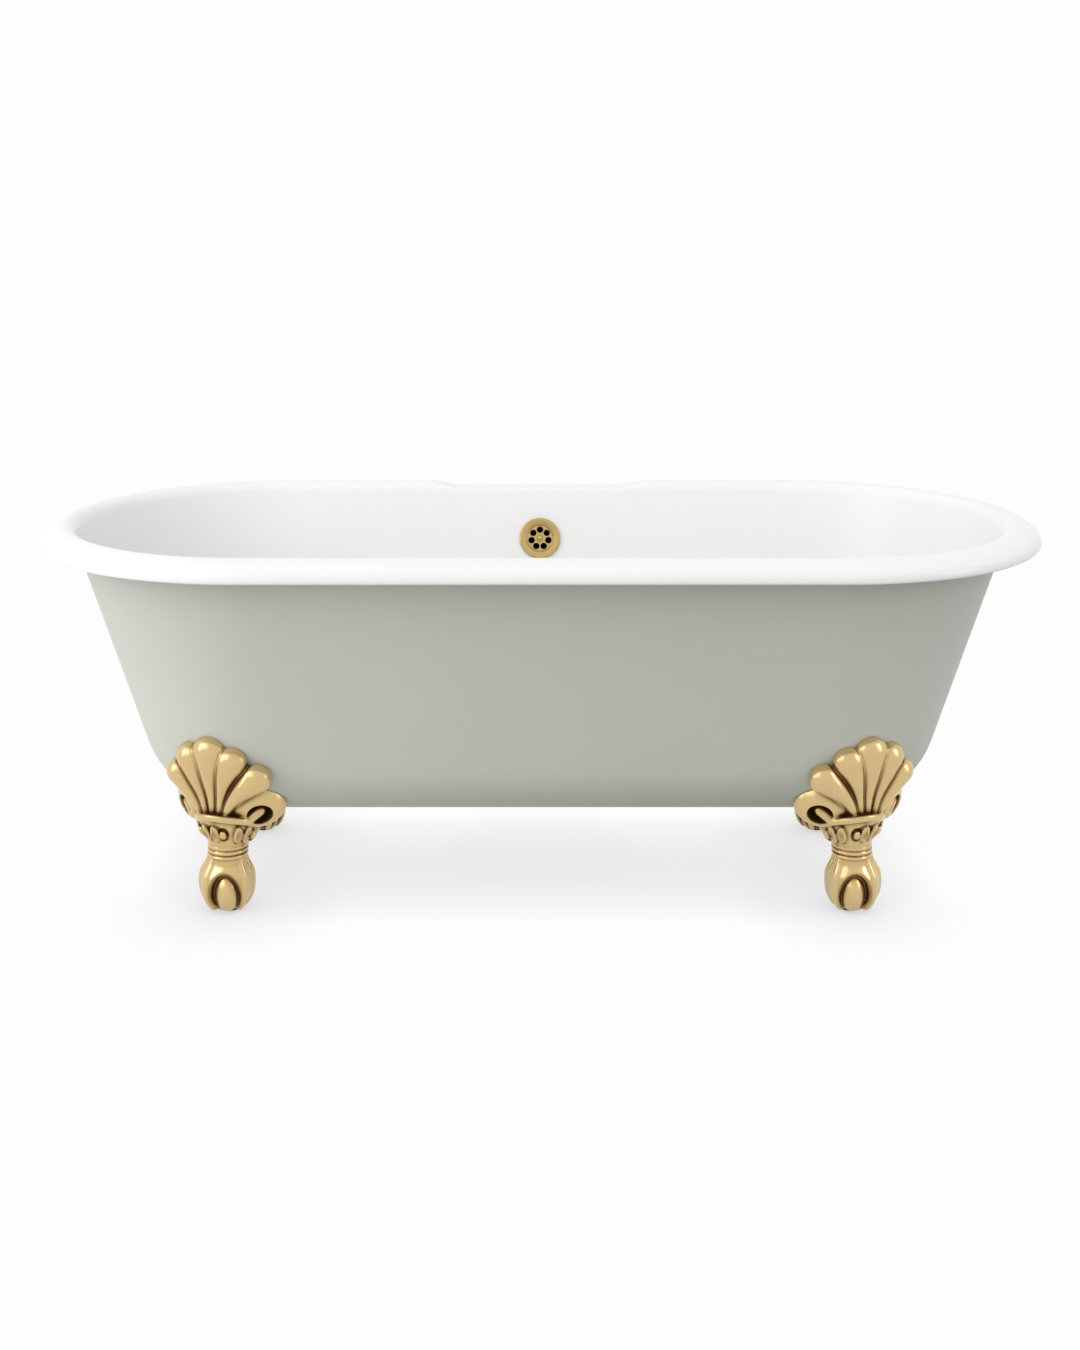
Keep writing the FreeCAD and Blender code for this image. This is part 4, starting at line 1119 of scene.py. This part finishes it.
def add_world():
    """A white background, and a room that lights the bath most from the upper left."""
    world = bpy.data.worlds.new("soft_room")
    world.use_nodes = True
    nodes = world.node_tree.nodes
    links = world.node_tree.links
    room = nodes["Background"]
    room.inputs["Color"].default_value = (1, 1, 1, 1)
    direction = nodes.new("ShaderNodeTexCoord")
    toward = nodes.new("ShaderNodeVectorMath")
    toward.operation = "DOT_PRODUCT"
    toward.inputs[1].default_value = ROOM_LIGHT_FROM
    links.new(direction.outputs["Generated"], toward.inputs[0])
    glow = nodes.new("ShaderNodeMapRange")
    glow.interpolation_type = "SMOOTHSTEP"
    glow.inputs["From Min"].default_value = ROOM_LIGHT_START
    glow.inputs["To Min"].default_value = ROOM_DARK
    glow.inputs["To Max"].default_value = ROOM_LIGHT
    links.new(toward.outputs["Value"], glow.inputs["Value"])
    links.new(glow.outputs["Result"], room.inputs["Strength"])
    white = nodes.new("ShaderNodeBackground")
    white.inputs["Color"].default_value = (WHITE, WHITE, WHITE, 1)
    mix = nodes.new("ShaderNodeMixShader")
    links.new(background_rays(world.node_tree), mix.inputs[0])
    links.new(room.outputs[0], mix.inputs[1])
    links.new(white.outputs[0], mix.inputs[2])
    links.new(mix.outputs[0], nodes["World Output"].inputs["Surface"])
    bpy.context.scene.world = world


def add_light(name, place, target, width, height, power, spread=math.pi):
    """An area light turned toward a target."""
    light = bpy.data.lights.new(name, "AREA")
    light.shape = "RECTANGLE"
    light.size = width
    light.size_y = height
    light.energy = power
    light.spread = spread
    lamp = bpy.data.objects.new(name, light)
    lamp.location = place
    lamp.rotation_mode = "QUATERNION"
    lamp.rotation_quaternion = (Vector(target) - Vector(place)).to_track_quat("-Z", "Y")
    bpy.context.scene.collection.objects.link(lamp)


def add_lights():
    """A softbox at the upper left, and a weak low strip for the feet at each side."""
    add_light("key_softbox", KEY_PLACE, KEY_TARGET, KEY_SIZE, KEY_SIZE, KEY_POWER)
    for side in (-1, 1):
        mirror = Vector((side, 1, 1))
        add_light(f"low_strip_{side}", mirror * STRIP_PLACE, mirror * STRIP_TARGET,
                  STRIP_WIDTH, STRIP_HEIGHT, STRIP_POWER, STRIP_SPREAD)


def add_camera():
    """The camera that was fitted to the photo."""
    data = bpy.data.cameras.new("front_camera")
    data.lens = CAMERA_LENS
    camera = bpy.data.objects.new("front_camera", data)
    camera.location = CAMERA_PLACE
    camera.rotation_euler = (math.radians(90 - CAMERA_DIP), 0, 0)
    bpy.context.scene.collection.objects.link(camera)
    bpy.context.scene.camera = camera


# Pieces on the frame

SLOT_MATERIALS = {"tub_iron": paint, "foot_iron": gold, "steel": steel, "rubber": rubber, "brass": brass}
NODE_MATERIALS = {"overflow_elbow": bored_brass}


def finish_piece(thing, node):
    """Show a piece in place of the frame's node that it stands for."""
    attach(thing, "bath")
    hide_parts(node)


def dress_frame():
    """Give the frame's own nodes the finish of their slot."""
    for part in frame["record"]["subparts"]:
        data = frame["nodes"][part["node"]].data
        data.materials.clear()
        data.materials.append(NODE_MATERIALS.get(part["node"], SLOT_MATERIALS[part["material_slot"]]))


dress_frame()
finish_piece(tub_shell(), "tub_shell")
for foot_node, casting in feet().items():
    finish_piece(casting, foot_node)
finish_piece(overflow_face(), "overflow_face")
add_stage()
add_world()
add_lights()
add_camera()
bpy.context.scene.view_settings.view_transform = "Standard"
